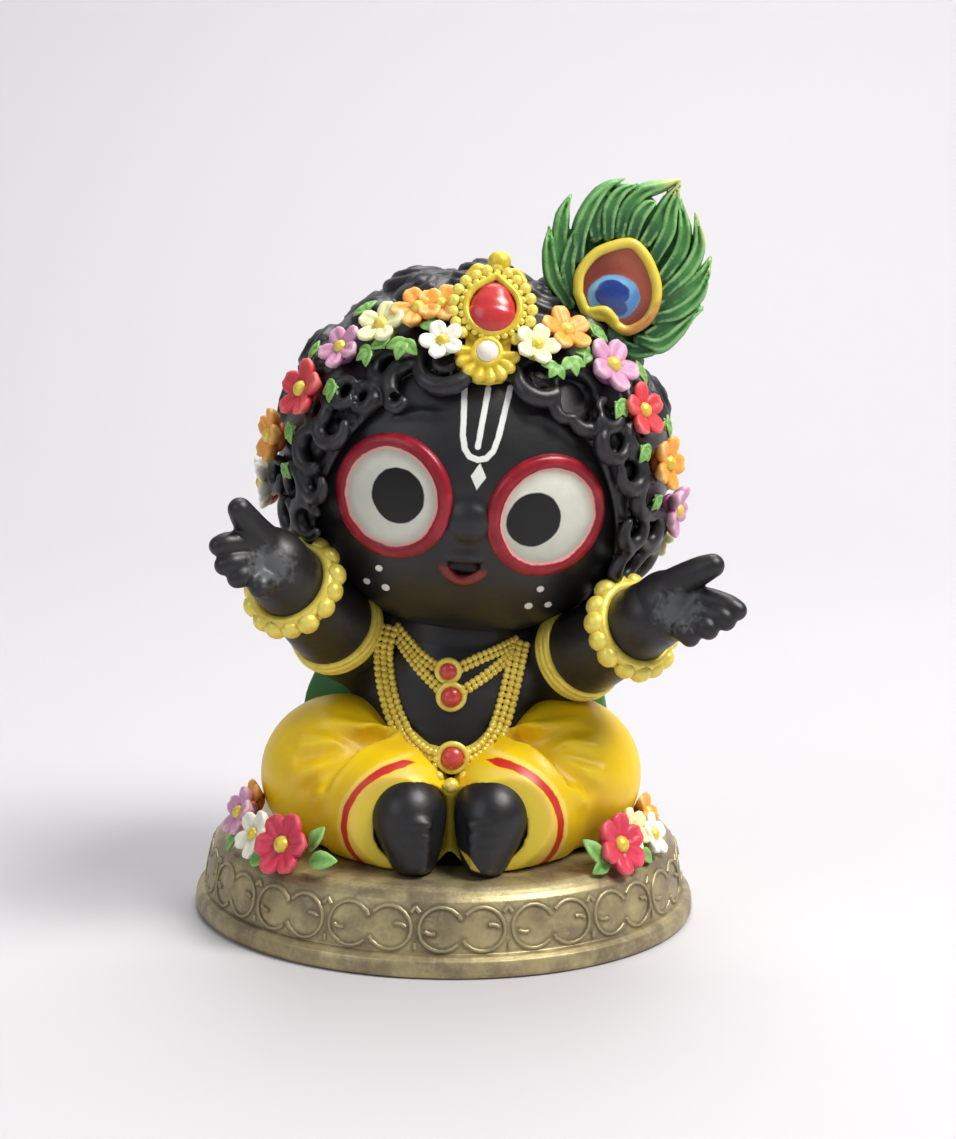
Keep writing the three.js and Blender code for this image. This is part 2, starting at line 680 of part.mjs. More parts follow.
function makeFigure() {
  const whole = join([
    makeTrunk(),
    makeSeat(),
    makeCape(),
    ...LEG_SPOTS.map(makeTrouserLeg),
    ...LEG_SPOTS.map(makeFoot),
    makeNecklaces(),
    ...ARMS.map(makeArm),
    makeFace(),
    makeHairCap(),
    ...makeCurls(),
    makeGarland(),
    makeJewel(),
    makeFeather(),
  ]);
  const below = new THREE.BoxGeometry(PLINTH_RADIUS * 3, PLINTH_RADIUS * 3, PLINTH_HEIGHT * 2);
  return whole.subtract(toSolid(below.translate(0, 0, -PLINTH_HEIGHT)));
}

// Plinth: a turned body, a band of raised loops, and flowers and leaves on its rim

const bandFoot = FOOT_BAND_HEIGHT + EDGE_EASE;
const bandHead = PLINTH_HEIGHT - RIM_HEIGHT;
const bandFootRadius = PLINTH_RADIUS - FOOT_LEDGE;
const bandHeadRadius = bandFootRadius - BAND_TAPER;
const rimRadius = bandHeadRadius - RIM_SETBACK;

function makeOrnament() {
  const height = bandHead - bandFoot;
  const pitch = (2 * Math.PI) / ORNAMENT_COUNT;
  const facet = (bandFootRadius + bandHeadRadius) / 2 * Math.cos(pitch / 2);
  const half = facet * Math.tan(pitch / 2) - ORNAMENT_GAP / 2;
  const loop = loopShape(half, height / 2 - ORNAMENT_GAP / 2, ORNAMENT_STROKE);
  const loops = [];
  for (let i = 0; i < ORNAMENT_COUNT; i += 1) {
    const turn = (i + 0.5) * pitch;
    const facing = vec(Math.sin(turn), -Math.cos(turn), BAND_TAPER / height);
    const place = vec(Math.sin(turn), -Math.cos(turn), 0).multiplyScalar(facet);
    const frame = frameAt(place.setZ((bandFoot + bandHead) / 2), facing);
    loops.push(placed(slab(loop, ORNAMENT_RELIEF * 2).translate(0, 0, -ORNAMENT_RELIEF), frame));
  }
  return loops;
}

// A flat four-sided loop of one stroke's width
function loopShape(halfWidth, halfHeight, stroke) {
  const outline = (wide, high, path) => {
    path.moveTo(wide, 0);
    for (const [x, y] of [[0, high], [-wide, 0], [0, -high]]) path.lineTo(x, y);
    path.closePath();
    return path;
  };
  const shape = outline(halfWidth, halfHeight, new THREE.Shape());
  shape.holes.push(outline(halfWidth - stroke * 1.5, halfHeight - stroke * 1.5, new THREE.Path()));
  return shape;
}

const RIM_FLOWERS = [
  { turn: -43, size: 1.05, out: 0.95, up: 0.35 },
  { turn: -57, size: 0.9, out: 1, up: 0.95 },
  { turn: -69, size: 0.85, out: 0.85, up: 1.45 },
  { turn: 48, size: 1.05, out: 0.95, up: 0.5 },
  { turn: 61, size: 0.9, out: 1, up: 1.15 },
  { turn: 72, size: 0.85, out: 0.85, up: 1.6 },
];
const RIM_LEAVES = [[-34, 0.03], [-50, 0.1], [-66, 0.03], [39, 0.07], [57, 0.14], [72, 0.03]];

function makeRimFlowers() {
  const pieces = [];
  const outward = (turn) => vec(Math.sin(radians(turn)), -Math.cos(radians(turn)), 0);
  for (const { turn, size, out, up } of RIM_FLOWERS) {
    const radius = BLOSSOM_RADIUS * size;
    const place = outward(turn).multiplyScalar(rimRadius - radius * (1 - out));
    const rise = BLOSSOM_RADIUS * up;
    place.z = PLINTH_HEIGHT - BLOSSOM_RADIUS * 0.35 + rise;
    pieces.push(makeBlossom(place, outward(turn).setZ(0.7).normalize(), radius));
    const heelAt = outward(turn).multiplyScalar(rimRadius - radius * 0.5).setZ(PLINTH_HEIGHT);
    const heel = egg(vec(radius * 1.15, radius * 1.15, rise * 1.1), 6, 3);
    pieces.push(toSolid(heel.translate(heelAt.x, heelAt.y, heelAt.z)));
  }
  for (const [turn, up] of RIM_LEAVES) {
    const place = outward(turn).multiplyScalar(rimRadius * 0.985)
      .setZ(PLINTH_HEIGHT + BLOSSOM_RADIUS * up);
    pieces.push(makeLeaf(place, outward(turn).setZ(1), outward(turn + 70), BLOSSOM_RADIUS * 1.9));
  }
  const lift = [0, 0, PLINTH_HEIGHT + GLUE_LINE];
  const rooms = LEG_SPOTS.map((spot) => {
    const room = egg(kneeEgg(CLEARANCE * 2.5), 14, 8).translate(...spot.knee.toArray());
    return toSolid(room).add(makeCuff(spot, CLEARANCE)).translate(lift);
  });
  rooms.push(makeSeat(CLEARANCE).translate(lift));
  return join(pieces).subtract(join(rooms));
}

function makePlinth() {
  const profile = [
    [0, 0],
    [PLINTH_RADIUS, 0],
    [PLINTH_RADIUS, FOOT_BAND_HEIGHT - EDGE_EASE],
    [PLINTH_RADIUS - EDGE_EASE, FOOT_BAND_HEIGHT],
    [bandFootRadius, bandFoot],
    [bandHeadRadius, bandHead],
    [bandHeadRadius - RIM_SETBACK * 0.35, PLINTH_HEIGHT - RIM_HEIGHT * 0.35],
    [rimRadius, PLINTH_HEIGHT],
    [0, PLINTH_HEIGHT],
  ];
  return join([toSolid(turned(profile, ORNAMENT_COUNT)), ...makeOrnament(), makeRimFlowers()]);
}

function part(name, solid, colour, roughness, metalness, lift = 0) {
  const material = new THREE.MeshStandardMaterial({ color: colour, roughness, metalness });
  const mesh = new THREE.Mesh(toGeometry(solid), material);
  mesh.name = name;
  mesh.position.z = lift;
  return mesh;
}

const model = new THREE.Group();
model.add(part('figure', makeFigure(), 0x1b1a1c, 0.55, 0, PLINTH_HEIGHT + GLUE_LINE));
model.add(part('plinth', makePlinth(), 0x8a7d63, 0.5, 0.6));

export default model;
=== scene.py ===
"""Looks of a small painted casting: a seated figure with a garland and a feather on a round plinth."""

import logging
import math
from dataclasses import dataclass, field
from enum import Enum
from typing import Any, Callable, Optional, Protocol, Sequence, Union

import bpy
import numpy as np
from mathutils import Matrix


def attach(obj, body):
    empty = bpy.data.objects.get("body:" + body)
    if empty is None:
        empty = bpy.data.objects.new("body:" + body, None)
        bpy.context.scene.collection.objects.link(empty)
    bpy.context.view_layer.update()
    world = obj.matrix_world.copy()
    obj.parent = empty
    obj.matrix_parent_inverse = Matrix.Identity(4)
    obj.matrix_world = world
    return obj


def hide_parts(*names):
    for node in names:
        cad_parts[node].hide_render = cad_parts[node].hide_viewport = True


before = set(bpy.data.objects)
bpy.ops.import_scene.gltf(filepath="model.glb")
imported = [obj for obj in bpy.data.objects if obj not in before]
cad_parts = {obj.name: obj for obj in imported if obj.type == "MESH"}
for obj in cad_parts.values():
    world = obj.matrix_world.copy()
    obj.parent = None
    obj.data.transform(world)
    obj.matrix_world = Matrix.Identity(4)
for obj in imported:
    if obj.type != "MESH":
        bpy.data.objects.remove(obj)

LOG = logging.getLogger("casting")
MM = 0.001
FAR = np.float32(9.0)
TINY = 1e-6
FULL_TURN = 2 * math.pi
Point = np.ndarray
Row = Sequence[float]
Colour = tuple[int, int, int]  # red, green and blue, 0 to 255
Socket = bpy.types.NodeSocket
Shade = Union[Colour, Socket]
Material = bpy.types.Material


def xyz(x: float, y: float, z: float) -> Point:
    """A point or direction in millimetres."""
    return np.array((x, y, z), dtype=float)


def unit(direction: Point) -> Point:
    """The direction at length one."""
    return direction / np.linalg.norm(direction)


UP = xyz(0, 0, 1)
FRONT = xyz(0, -1, 0)


def axes_at(facing: Point, up: Point = UP) -> np.ndarray:
    """Axes whose third column looks along facing and whose second leans towards up.

    Args:
        facing: Direction of the local Z.
        up: Direction that the local Y leans to.

    Returns:
        A 3x3 array whose columns are the local axes.
    """
    z = unit(facing)
    y = unit(up - z * float(up @ z))
    return np.stack([np.cross(y, z), y, z], axis=1)


def rotated(direction: Point, about: Point, degrees: float) -> Point:
    """A direction laid flat across another and turned about it.

    Args:
        direction: The direction.
        about: The axis.
        degrees: The turn.

    Returns:
        The turned direction.
    """
    axis, angle = unit(about), math.radians(degrees)
    flat = direction - axis * float(axis @ direction)
    return flat * math.cos(angle) + np.cross(axis, flat) * math.sin(angle)


def smooth_path(points: Sequence[Row], steps: int) -> np.ndarray:
    """A Catmull-Rom curve through the points.

    Args:
        points: Rows of numbers, at least two.
        steps: New points for each stretch.

    Returns:
        The curve's points, one row each.
    """
    given = np.asarray(points, dtype=float)
    if len(given) < 3:
        return given
    ends = np.vstack([2 * given[0] - given[1], given, 2 * given[-1] - given[-2]])
    rows = []
    for i in range(1, len(ends) - 2):
        a, b, c, d = ends[i - 1 : i + 3]
        for t in np.linspace(0, 1, steps, endpoint=False):
            square, cube = 2 * a - 5 * b + 4 * c - d, 3 * b - a - 3 * c + d
            rows.append(0.5 * (2 * b + (c - a) * t + square * t**2 + cube * t**3))
    rows.append(given[-1])
    return np.array(rows)


def closed(rows: np.ndarray) -> np.ndarray:
    """The outline with its first point again at the end."""
    return np.vstack([rows, rows[:1]])


def run_of(path: np.ndarray) -> np.ndarray:
    """How far along a path each of its points lies."""
    return np.concatenate([[0], np.cumsum(np.linalg.norm(np.diff(path, axis=0), axis=1))])


def spaced(path: np.ndarray, gap: float) -> np.ndarray:
    """Points along a path at even steps.

    Args:
        path: The path.
        gap: About how long a step is.

    Returns:
        The points.
    """
    run = run_of(path)
    at = np.linspace(0, run[-1], max(2, int(round(run[-1] / gap)) + 1))
    return np.stack([np.interp(at, run, path[:, i]) for i in range(path.shape[1])], axis=1)


def flat_path(rows: np.ndarray, height: float) -> np.ndarray:
    """Points of a plane at one height above it."""
    return np.hstack([rows, np.full((len(rows), 1), height)])


def drop_outline(half: float, tip: float) -> np.ndarray:
    """A drop: round below, pointed above, with its centre of roundness at the origin.

    Args:
        half: Radius of the round part.
        tip: Height of the point over the origin.

    Returns:
        The outline's points, the tip first.
    """
    opened = math.acos(half / tip)
    angles = math.pi / 2 + opened + np.linspace(0, FULL_TURN - 2 * opened, 40)
    arc = np.stack([half * np.cos(angles), half * np.sin(angles)], axis=1)
    return np.vstack([[0, tip], arc])


def linear(shade: Shade) -> Any:
    """A paint colour as the linear colour that a shader reads; an output stays as it is.

    Args:
        shade: The colour or the output.

    Returns:
        The linear colour with a full alpha, or the output.
    """
    if not isinstance(shade, tuple):
        return shade
    channels = [c / 255 for c in shade]
    return (*[c / 12.92 if c <= 0.04045 else ((c + 0.055) / 1.055) ** 2.4 for c in channels], 1.0)


# Forms, which are blended in a block of clay


class Form(Protocol):
    """Anything that knows its reach and how far each point is from its surface."""

    def reach(self) -> tuple[Point, Point]:
        """The lowest and highest corner."""

    def distance(self, points: np.ndarray) -> np.ndarray:
        """How far each point lies outside the surface, negative inside."""


@dataclass(frozen=True)
class Egg:
    """An ellipsoid, turned by its axes."""

    centre: Point
    radii: Point
    axes: np.ndarray = field(default_factory=lambda: np.eye(3))

    def reach(self) -> tuple[Point, Point]:
        """The lowest and highest corner."""
        half = np.sqrt(((self.axes * self.radii) ** 2).sum(axis=1))
        return self.centre - half, self.centre + half

    def distance(self, points: np.ndarray) -> np.ndarray:
        """How far each point lies outside the surface.

        Args:
            points: The points.

        Returns:
            Their distances, negative inside.
        """
        local = (points - self.centre) @ self.axes
        near = np.linalg.norm(local / self.radii, axis=-1)
        slope = np.linalg.norm(local / self.radii**2, axis=-1)
        return near * (near - 1) / np.maximum(slope, TINY)


@dataclass(frozen=True)
class Strand:
    """A round strand through points, with a radius at each; thin flattens it across one direction."""

    points: np.ndarray
    radii: np.ndarray
    flat: Optional[Point] = None
    thin: float = 1.0

    def reach(self) -> tuple[Point, Point]:
        """The lowest and highest corner."""
        wide = float(np.max(self.radii))
        return self.points.min(axis=0) - wide, self.points.max(axis=0) + wide

    def squeezed(self, points: np.ndarray) -> np.ndarray:
        """Stretches the flat direction, so that the strand comes out thin there.

        Args:
            points: The points.

        Returns:
            The stretched points.
        """
        if self.flat is None:
            return points
        return points + (points @ self.flat)[..., None] * self.flat * (1 / self.thin - 1)

    def distance(self, points: np.ndarray) -> np.ndarray:
        """How far each point lies outside the surface.

        Args:
            points: The points.

        Returns:
            Their distances, negative inside.
        """
        around = self.squeezed(points)
        spine = self.squeezed(self.points)
        nearest = np.full(points.shape[:-1], FAR, dtype=float)
        for a, b, ra, rb in zip(spine[:-1], spine[1:], self.radii[:-1], self.radii[1:]):
            along = b - a
            share = np.clip(((around - a) @ along) / max(float(along @ along), 1e-9), 0, 1)
            gap = np.linalg.norm(around - a - share[..., None] * along, axis=-1)
            nearest = np.minimum(nearest, gap - (ra + (rb - ra) * share))
        return nearest


def strand(points: Sequence[Row], radii: Row, steps: int = 5, **shape: Any) -> Strand:
    """A strand along a smooth curve, its radius spread evenly over the curve.

    Args:
        points: Points that the curve goes through.
        radii: Radii from the first to the last point, any number of them.
        steps: Curve points for each stretch.
        **shape: The strand's flat and thin, where it isn't round.

    Returns:
        The strand.
    """
    path = smooth_path(points, steps)
    spread = np.interp(np.linspace(0, 1, len(path)), np.linspace(0, 1, len(radii)), radii)
    return Strand(path, spread, **shape)


@dataclass(frozen=True)
class Plate:
    """A flat form of constant outline between two heights of the local Z."""

    outline: np.ndarray
    low: float
    high: float

    def reach(self) -> tuple[Point, Point]:
        """The lowest and highest corner."""
        return np.append(self.outline.min(axis=0), self.low), np.append(self.outline.max(axis=0), self.high)

    def distance(self, points: np.ndarray) -> np.ndarray:
        """How far each point lies outside the surface.

        Args:
            points: The points.

        Returns:
            Their distances, negative inside.
        """
        x, y = points[..., 0], points[..., 1]
        nearest = np.full(x.shape, FAR**2, dtype=float)
        inside = np.zeros(x.shape, dtype=bool)
        for (ax, ay), (bx, by) in zip(self.outline, np.roll(self.outline, -1, axis=0)):
            ex, ey = bx - ax, by - ay
            share = np.clip(((x - ax) * ex + (y - ay) * ey) / (ex * ex + ey * ey), 0, 1)
            nearest = np.minimum(nearest, (x - ax - share * ex) ** 2 + (y - ay - share * ey) ** 2)
            if ey:
                inside ^= ((ay > y) != (by > y)) & (x < (y - ay) * ex / ey + ax)
        flat = np.sqrt(nearest) * np.where(inside, -1, 1)
        rise = np.maximum(self.low - points[..., 2], points[..., 2] - self.high)
        return np.minimum(np.maximum(flat, rise), 0) + np.hypot(np.maximum(flat, 0), np.maximum(rise, 0))


def smooth_least(a: np.ndarray, b: np.ndarray, blend: float) -> np.ndarray:
    """The smaller of two distances, rounded where they meet.

    Args:
        a: First distances.
        b: Second distances.
        blend: Width of the rounding in millimetres.

    Returns:
        The blended distances.
    """
    if blend <= 0:
        return np.minimum(a, b)
    near = np.clip(blend - np.abs(a - b), 0, None) / blend
    return np.minimum(a, b) - near * near * blend * 0.25


@dataclass
class Shell:
    """Corners and faces of a mesh in millimetres; all faces have the same number of corners."""

    corners: np.ndarray
    faces: np.ndarray


class Clay:
    """A block of space in which forms are added, carved and cut before they are skinned."""

    def __init__(self, low: Row, high: Row, cell: float) -> None:
        """Starts with an empty block.

        Args:
            low: The block's lowest corner.
            high: Its highest corner.
            cell: Size of its cells in millimetres.
        """
        self.low = np.asarray(low, dtype=float)
        self.cell = cell
        count = np.ceil((np.asarray(high) - self.low) / cell).astype(int) + 1
        self.field = np.full(count, FAR, dtype=np.float32)

    def near(self, form: Form, blend: float) -> tuple[tuple[slice, ...], np.ndarray]:
        """The part of the block that a form can change.

        Args:
            form: The form.
            blend: Width of its rounding.

        Returns:
            The part's slices and its points.
        """
        low, high = form.reach()
        pad = blend + 3 * self.cell
        first = np.clip(np.floor((low - pad - self.low) / self.cell), 0, self.field.shape).astype(int)
        last = np.clip(np.ceil((high + pad - self.low) / self.cell) + 1, 0, self.field.shape).astype(int)
        window = tuple(slice(a, b) for a, b in zip(first, last))
        lines = [self.low[i] + self.cell * np.arange(first[i], last[i], dtype=np.float32) for i in range(3)]
        return window, np.stack(np.meshgrid(*lines, indexing="ij"), axis=-1).astype(np.float32)

    def add(self, form: Form, blend: float = 0.0) -> None:
        """Joins a form on, rounded over the blend's width."""
        window, points = self.near(form, blend)
        self.field[window] = smooth_least(self.field[window], form.distance(points), blend)

    def carve(self, form: Form, blend: float) -> None:
        """Takes a form away, rounded over the blend's width."""
        window, points = self.near(form, blend)
        self.field[window] = -smooth_least(-self.field[window], form.distance(points), blend)

    def cut(self, place: Point, facing: Point) -> None:
        """Takes away all that lies beyond a plane.

        Args:
            place: A point of the plane.
            facing: The plane's direction, towards the part that goes.
        """
        counts = [np.arange(n) for n in self.field.shape]
        lines = [(self.low[i] + self.cell * counts[i] - place[i]) * facing[i] for i in range(3)]
        beyond = lines[0][:, None, None] + lines[1][None, :, None] + lines[2][None, None, :]
        self.field = np.maximum(self.field, beyond.astype(np.float32))

    def sample(self, points: np.ndarray) -> np.ndarray:
        """The distance field at any points, read between its cells.

        Args:
            points: The points.

        Returns:
            Their distances from the surface.
        """
        spot = (points - self.low) / self.cell
        base = np.clip(np.floor(spot).astype(int), 0, np.array(self.field.shape) - 2)
        part = spot - base
        total = np.zeros(len(points))
        for corner in np.ndindex(2, 2, 2):
            weight = np.prod(np.where(corner, part, 1 - part), axis=1)
            at = base + corner
            total += weight * self.field[at[:, 0], at[:, 1], at[:, 2]]
        return total

    def slope(self, points: np.ndarray) -> np.ndarray:
        """The field's direction of growth at any points.

        Args:
            points: The points.

        Returns:
            The directions, about one long.
        """
        step = np.eye(3) * self.cell * 0.6
        ahead = [self.sample(points + s) - self.sample(points - s) for s in step]
        return np.stack(ahead, axis=1) / (self.cell * 1.2)

    def front(self, across: float, height: float, lift: float) -> Point:
        """The first point of the surface that a look along +Y meets.

        Args:
            across: The look's x.
            height: The look's z.
            lift: How far the point is raised off the surface, against the look.

        Returns:
            The point.
        """
        reach = self.field.shape[1]
        ys = self.low[1] + self.cell * np.arange(reach)
        line = self.sample(np.stack([np.full(reach, across), ys, np.full(reach, height)], axis=1))
        hit = int(np.argmax(line < 0))
        share = line[hit - 1] / (line[hit - 1] - line[hit]) if hit else 0.0
        return xyz(across, ys[max(hit - 1, 0)] + share * self.cell - lift, height)

    def skin(self) -> Shell:
        """Skins the surface at distance zero.

        Returns:
            A closed shell of four-sided faces.
        """
        self.field[[0, -1]] = self.field[:, [0, -1]] = self.field[:, :, [0, -1]] = FAR
        solid = self.field < 0
        size = np.array(self.field.shape) - 1
        total = np.zeros(size, dtype=np.int8)
        for i, j, k in np.ndindex(2, 2, 2):
            total += solid[i : i + size[0], j : j + size[1], k : k + size[2]]
        mixed = (total > 0) & (total < 8)
        number = np.full(size, -1, dtype=np.int64)
        cells = np.argwhere(mixed)
        number[mixed] = np.arange(len(cells))
        spots, hits = np.zeros((len(cells), 3)), np.zeros(len(cells))
        ways = np.eye(3, dtype=int)
        faces = []
        for axis, step in enumerate(ways):
            others = [ways[a] for a in range(3) if a != axis]
            for i, j in np.ndindex(2, 2):
                offset = i * others[0] + j * others[1]
                a = self.field[tuple((cells + offset).T)]
                b = self.field[tuple((cells + offset + step).T)]
                crossing = (a < 0) != (b < 0)
                share = np.where(crossing, a / np.where(crossing, a - b, 1), 0)
                spots += crossing[:, None] * (offset + share[:, None] * step)
                hits += crossing
            edge = np.argwhere((solid != np.roll(solid, -1, axis=axis))[1:-1, 1:-1, 1:-1]) + 1
            b, c = ways[(axis + 1) % 3], ways[(axis + 2) % 3]
            ring = np.stack([number[tuple((edge - off).T)] for off in (b + c, c, 0 * b, b)], axis=1)
            faces.append(np.where(solid[tuple(edge.T)][:, None], ring, ring[:, ::-1]))
        corners = self.low + self.cell * (cells + spots / hits[:, None])
        for _ in range(2):
            slope = self.slope(corners)
            steepness = np.maximum((slope**2).sum(axis=1), 0.04)
            move = slope * (self.sample(corners) / steepness)[:, None]
            corners -= np.clip(move, -self.cell * 0.5, self.cell * 0.5)
        return Shell(corners, np.vstack(faces))


# Turned and swept shells


def capped_faces(rings: int, sides: int) -> np.ndarray:
    """Triangles of a stack of rings between two poles, numbered from the first pole to the last.

    Args:
        rings: Number of rings.
        sides: Corners of a ring.

    Returns:
        Three corner numbers a row.
    """
    here = np.arange(sides)
    ahead = (here + 1) % sides
    faces = [np.stack([0 * here, 1 + ahead, 1 + here], axis=1)]
    for low in range(1, 1 + (rings - 1) * sides, sides):
        faces.append(np.stack([low + here, low + ahead, low + sides + ahead], axis=1))
        faces.append(np.stack([low + here, low + sides + ahead, low + sides + here], axis=1))
    last = 1 + (rings - 1) * sides
    faces.append(np.stack([last + here, last + ahead, last + sides + 0 * here], axis=1))
    return np.vstack(faces)


def lathe(profile: Sequence[Row], sides: int) -> Shell:
    """A closed form turned about Z.

    Args:
        profile: (radius, height) rows from the bottom pole to the top pole.
        sides: Faces around.

    Returns:
        The shell, with its pole rings drawn together to single corners.
    """
    turns = FULL_TURN * np.arange(sides) / sides
    circle = np.stack([np.cos(turns), np.sin(turns), 0 * turns], axis=1)
    rings = [r * circle + z * UP for r, z in profile[1:-1]]
    corners = np.vstack([[[0, 0, profile[0][1]]], *rings, [[0, 0, profile[-1][1]]]])
    return Shell(corners, capped_faces(len(rings), sides))


def sweep(path: np.ndarray, radius: float, facing: Point = UP, flat: float = 1.0) -> Shell:
    """A closed tube along a path, with rounded-off ends.

    Args:
        path: Points of the path.
        radius: Radius of the tube.
        facing: Direction that the tube's flat side looks to.
        flat: Height along facing as a share of the radius.

    Returns:
        The shell.
    """
    ahead = np.gradient(path, axis=0)
    ahead /= np.linalg.norm(ahead, axis=1)[:, None]
    side = np.cross(ahead, facing)
    side /= np.linalg.norm(side, axis=1)[:, None]
    lift = np.cross(side, ahead)
    sides = 10
    turns = FULL_TURN * np.arange(sides) / sides
    rows = [path[0] - ahead[0] * radius * 0.5]
    for i, spot in enumerate(path):
        wide = radius * (0.75 if i in (0, len(path) - 1) else 1.0)
        rows.extend(spot + wide * (np.cos(t) * side[i] + flat * np.sin(t) * lift[i]) for t in turns)
    rows.append(path[-1] + ahead[-1] * radius * 0.5)
    return Shell(np.array(rows), capped_faces(len(path), sides)[:, ::-1])


def hoop(path: np.ndarray, radius: float) -> Shell:
    """A closed ring tube.

    Args:
        path: Its middle line, whose last point is its first.
        radius: Radius of the tube.

    Returns:
        The shell.
    """
    ring = path[:-1]
    sides = 12
    ahead = np.roll(ring, -1, axis=0) - np.roll(ring, 1, axis=0)
    ahead /= np.linalg.norm(ahead, axis=1)[:, None]
    out = ring - ring.mean(axis=0)
    out -= (out * ahead).sum(axis=1)[:, None] * ahead
    out /= np.linalg.norm(out, axis=1)[:, None]
    side = np.cross(ahead, out)
    turns = (FULL_TURN * np.arange(sides) / sides)[None, :, None]
    corners = ring[:, None] + radius * (np.cos(turns) * out[:, None] + np.sin(turns) * side[:, None])
    i, j = np.meshgrid(np.arange(len(ring)), np.arange(sides), indexing="ij")
    this, after, beside = i * sides, (i + 1) % len(ring) * sides, (j + 1) % sides
    faces = np.stack([this + j, after + j, after + beside, this + beside], axis=-1)
    return Shell(corners.reshape(-1, 3), faces.reshape(-1, 4)[:, ::-1])


def gathered(shells: Sequence[Shell]) -> Shell:
    """Several shells as one.

    Args:
        shells: Shells with faces of the same kind.

    Returns:
        The shell of them all.
    """
    starts = np.cumsum([0] + [len(shell.corners) for shell in shells])
    faces = [shell.faces + start for shell, start in zip(shells, starts)]
    return Shell(np.vstack([shell.corners for shell in shells]), np.vstack(faces))


# Meshes and what they stand for


def shown(name: str, data: Any) -> bpy.types.Object:
    """A new object of the scene that shows the data.

    Args:
        name: Name of the object.
        data: Its mesh, light or camera.

    Returns:
        The object.
    """
    thing = bpy.data.objects.new(name, data)
    bpy.context.scene.collection.objects.link(thing)
    return thing


def mark(mesh: bpy.types.Mesh, name: str, values: np.ndarray) -> None:
    """Stores one number or one direction for each corner of a mesh.

    Args:
        mesh: The mesh.
        name: Name of the layer.
        values: A number or a row of three for each corner.
    """
    wide = values.ndim == 2
    layer = mesh.attributes.new(name, "FLOAT_VECTOR" if wide else "FLOAT", "POINT")
    layer.data.foreach_set("vector" if wide else "value", values.astype(np.float32).ravel())


def mark_hollows(mesh: bpy.types.Mesh, rounds: int) -> None:
    """Stores how hollow the surface is at each corner: above zero in grooves, below it on ridges.

    Args:
        mesh: The mesh.
        rounds: How many times the value is spread to its neighbours.
    """
    count = len(mesh.vertices)
    edges = np.empty(len(mesh.edges) * 2, dtype=np.int32)
    mesh.edges.foreach_get("vertices", edges)
    a, b = edges.reshape(-1, 2).T
    corners, facing = np.empty(count * 3, dtype=np.float32), np.empty(count * 3, dtype=np.float32)
    mesh.vertices.foreach_get("co", corners)
    corners = corners.reshape(-1, 3) / MM
    mesh.vertex_normals.foreach_get("vector", facing)
    near = np.maximum(np.bincount(a, minlength=count) + np.bincount(b, minlength=count), 1)

    def spread(values: np.ndarray) -> np.ndarray:
        """The mean of each corner's neighbours."""
        return (np.bincount(a, values[b], count) + np.bincount(b, values[a], count)) / near

    middle = np.stack([spread(corners[:, i]) for i in range(3)], axis=1)
    length = float(np.median(np.linalg.norm(corners[a] - corners[b], axis=1)))
    hollow = ((middle - corners) * facing.reshape(-1, 3)).sum(axis=1) / length
    for _ in range(rounds):
        hollow = 0.4 * hollow + 0.6 * spread(hollow)
    mark(mesh, "hollow", hollow)


def mesh_piece(name: str, shell: Shell, material: Material, rounds: int) -> bpy.types.Object:
    """A smooth-shaded Blender object from a shell.

    Args:
        name: The piece's name.
        shell: Its corners and faces.
        material: Its finish.
        rounds: Rounds of spreading for the hollow layer.

    Returns:
        The object, in the scene.
    """
    mesh = bpy.data.meshes.new(name)
    count, width = shell.faces.shape
    mesh.vertices.add(len(shell.corners))
    mesh.vertices.foreach_set("co", (shell.corners * MM).astype(np.float32).ravel())
    mesh.loops.add(count * width)
    mesh.loops.foreach_set("vertex_index", shell.faces.astype(np.int32).ravel())
    mesh.polygons.add(count)
    mesh.polygons.foreach_set("loop_start", np.arange(0, count * width, width, dtype=np.int32))
    mesh.update(calc_edges=True)
    mesh.validate()
    mesh.shade_smooth()
    mark_hollows(mesh, rounds)
    mesh.materials.append(material)
    return shown(name, mesh)


def settle(piece: bpy.types.Object, node: str = "figure") -> None:
    """Hangs a finished piece on the root and hides the imported part of the solid that it belongs to.

    Args:
        piece: The piece.
        node: The solid that it belongs to.
    """
    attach(piece, "root")
    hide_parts(node)
    LOG.info("%s: %d faces", piece.name, len(piece.data.polygons))


# Maths inside trees of nodes

Number = Union["Value", float]


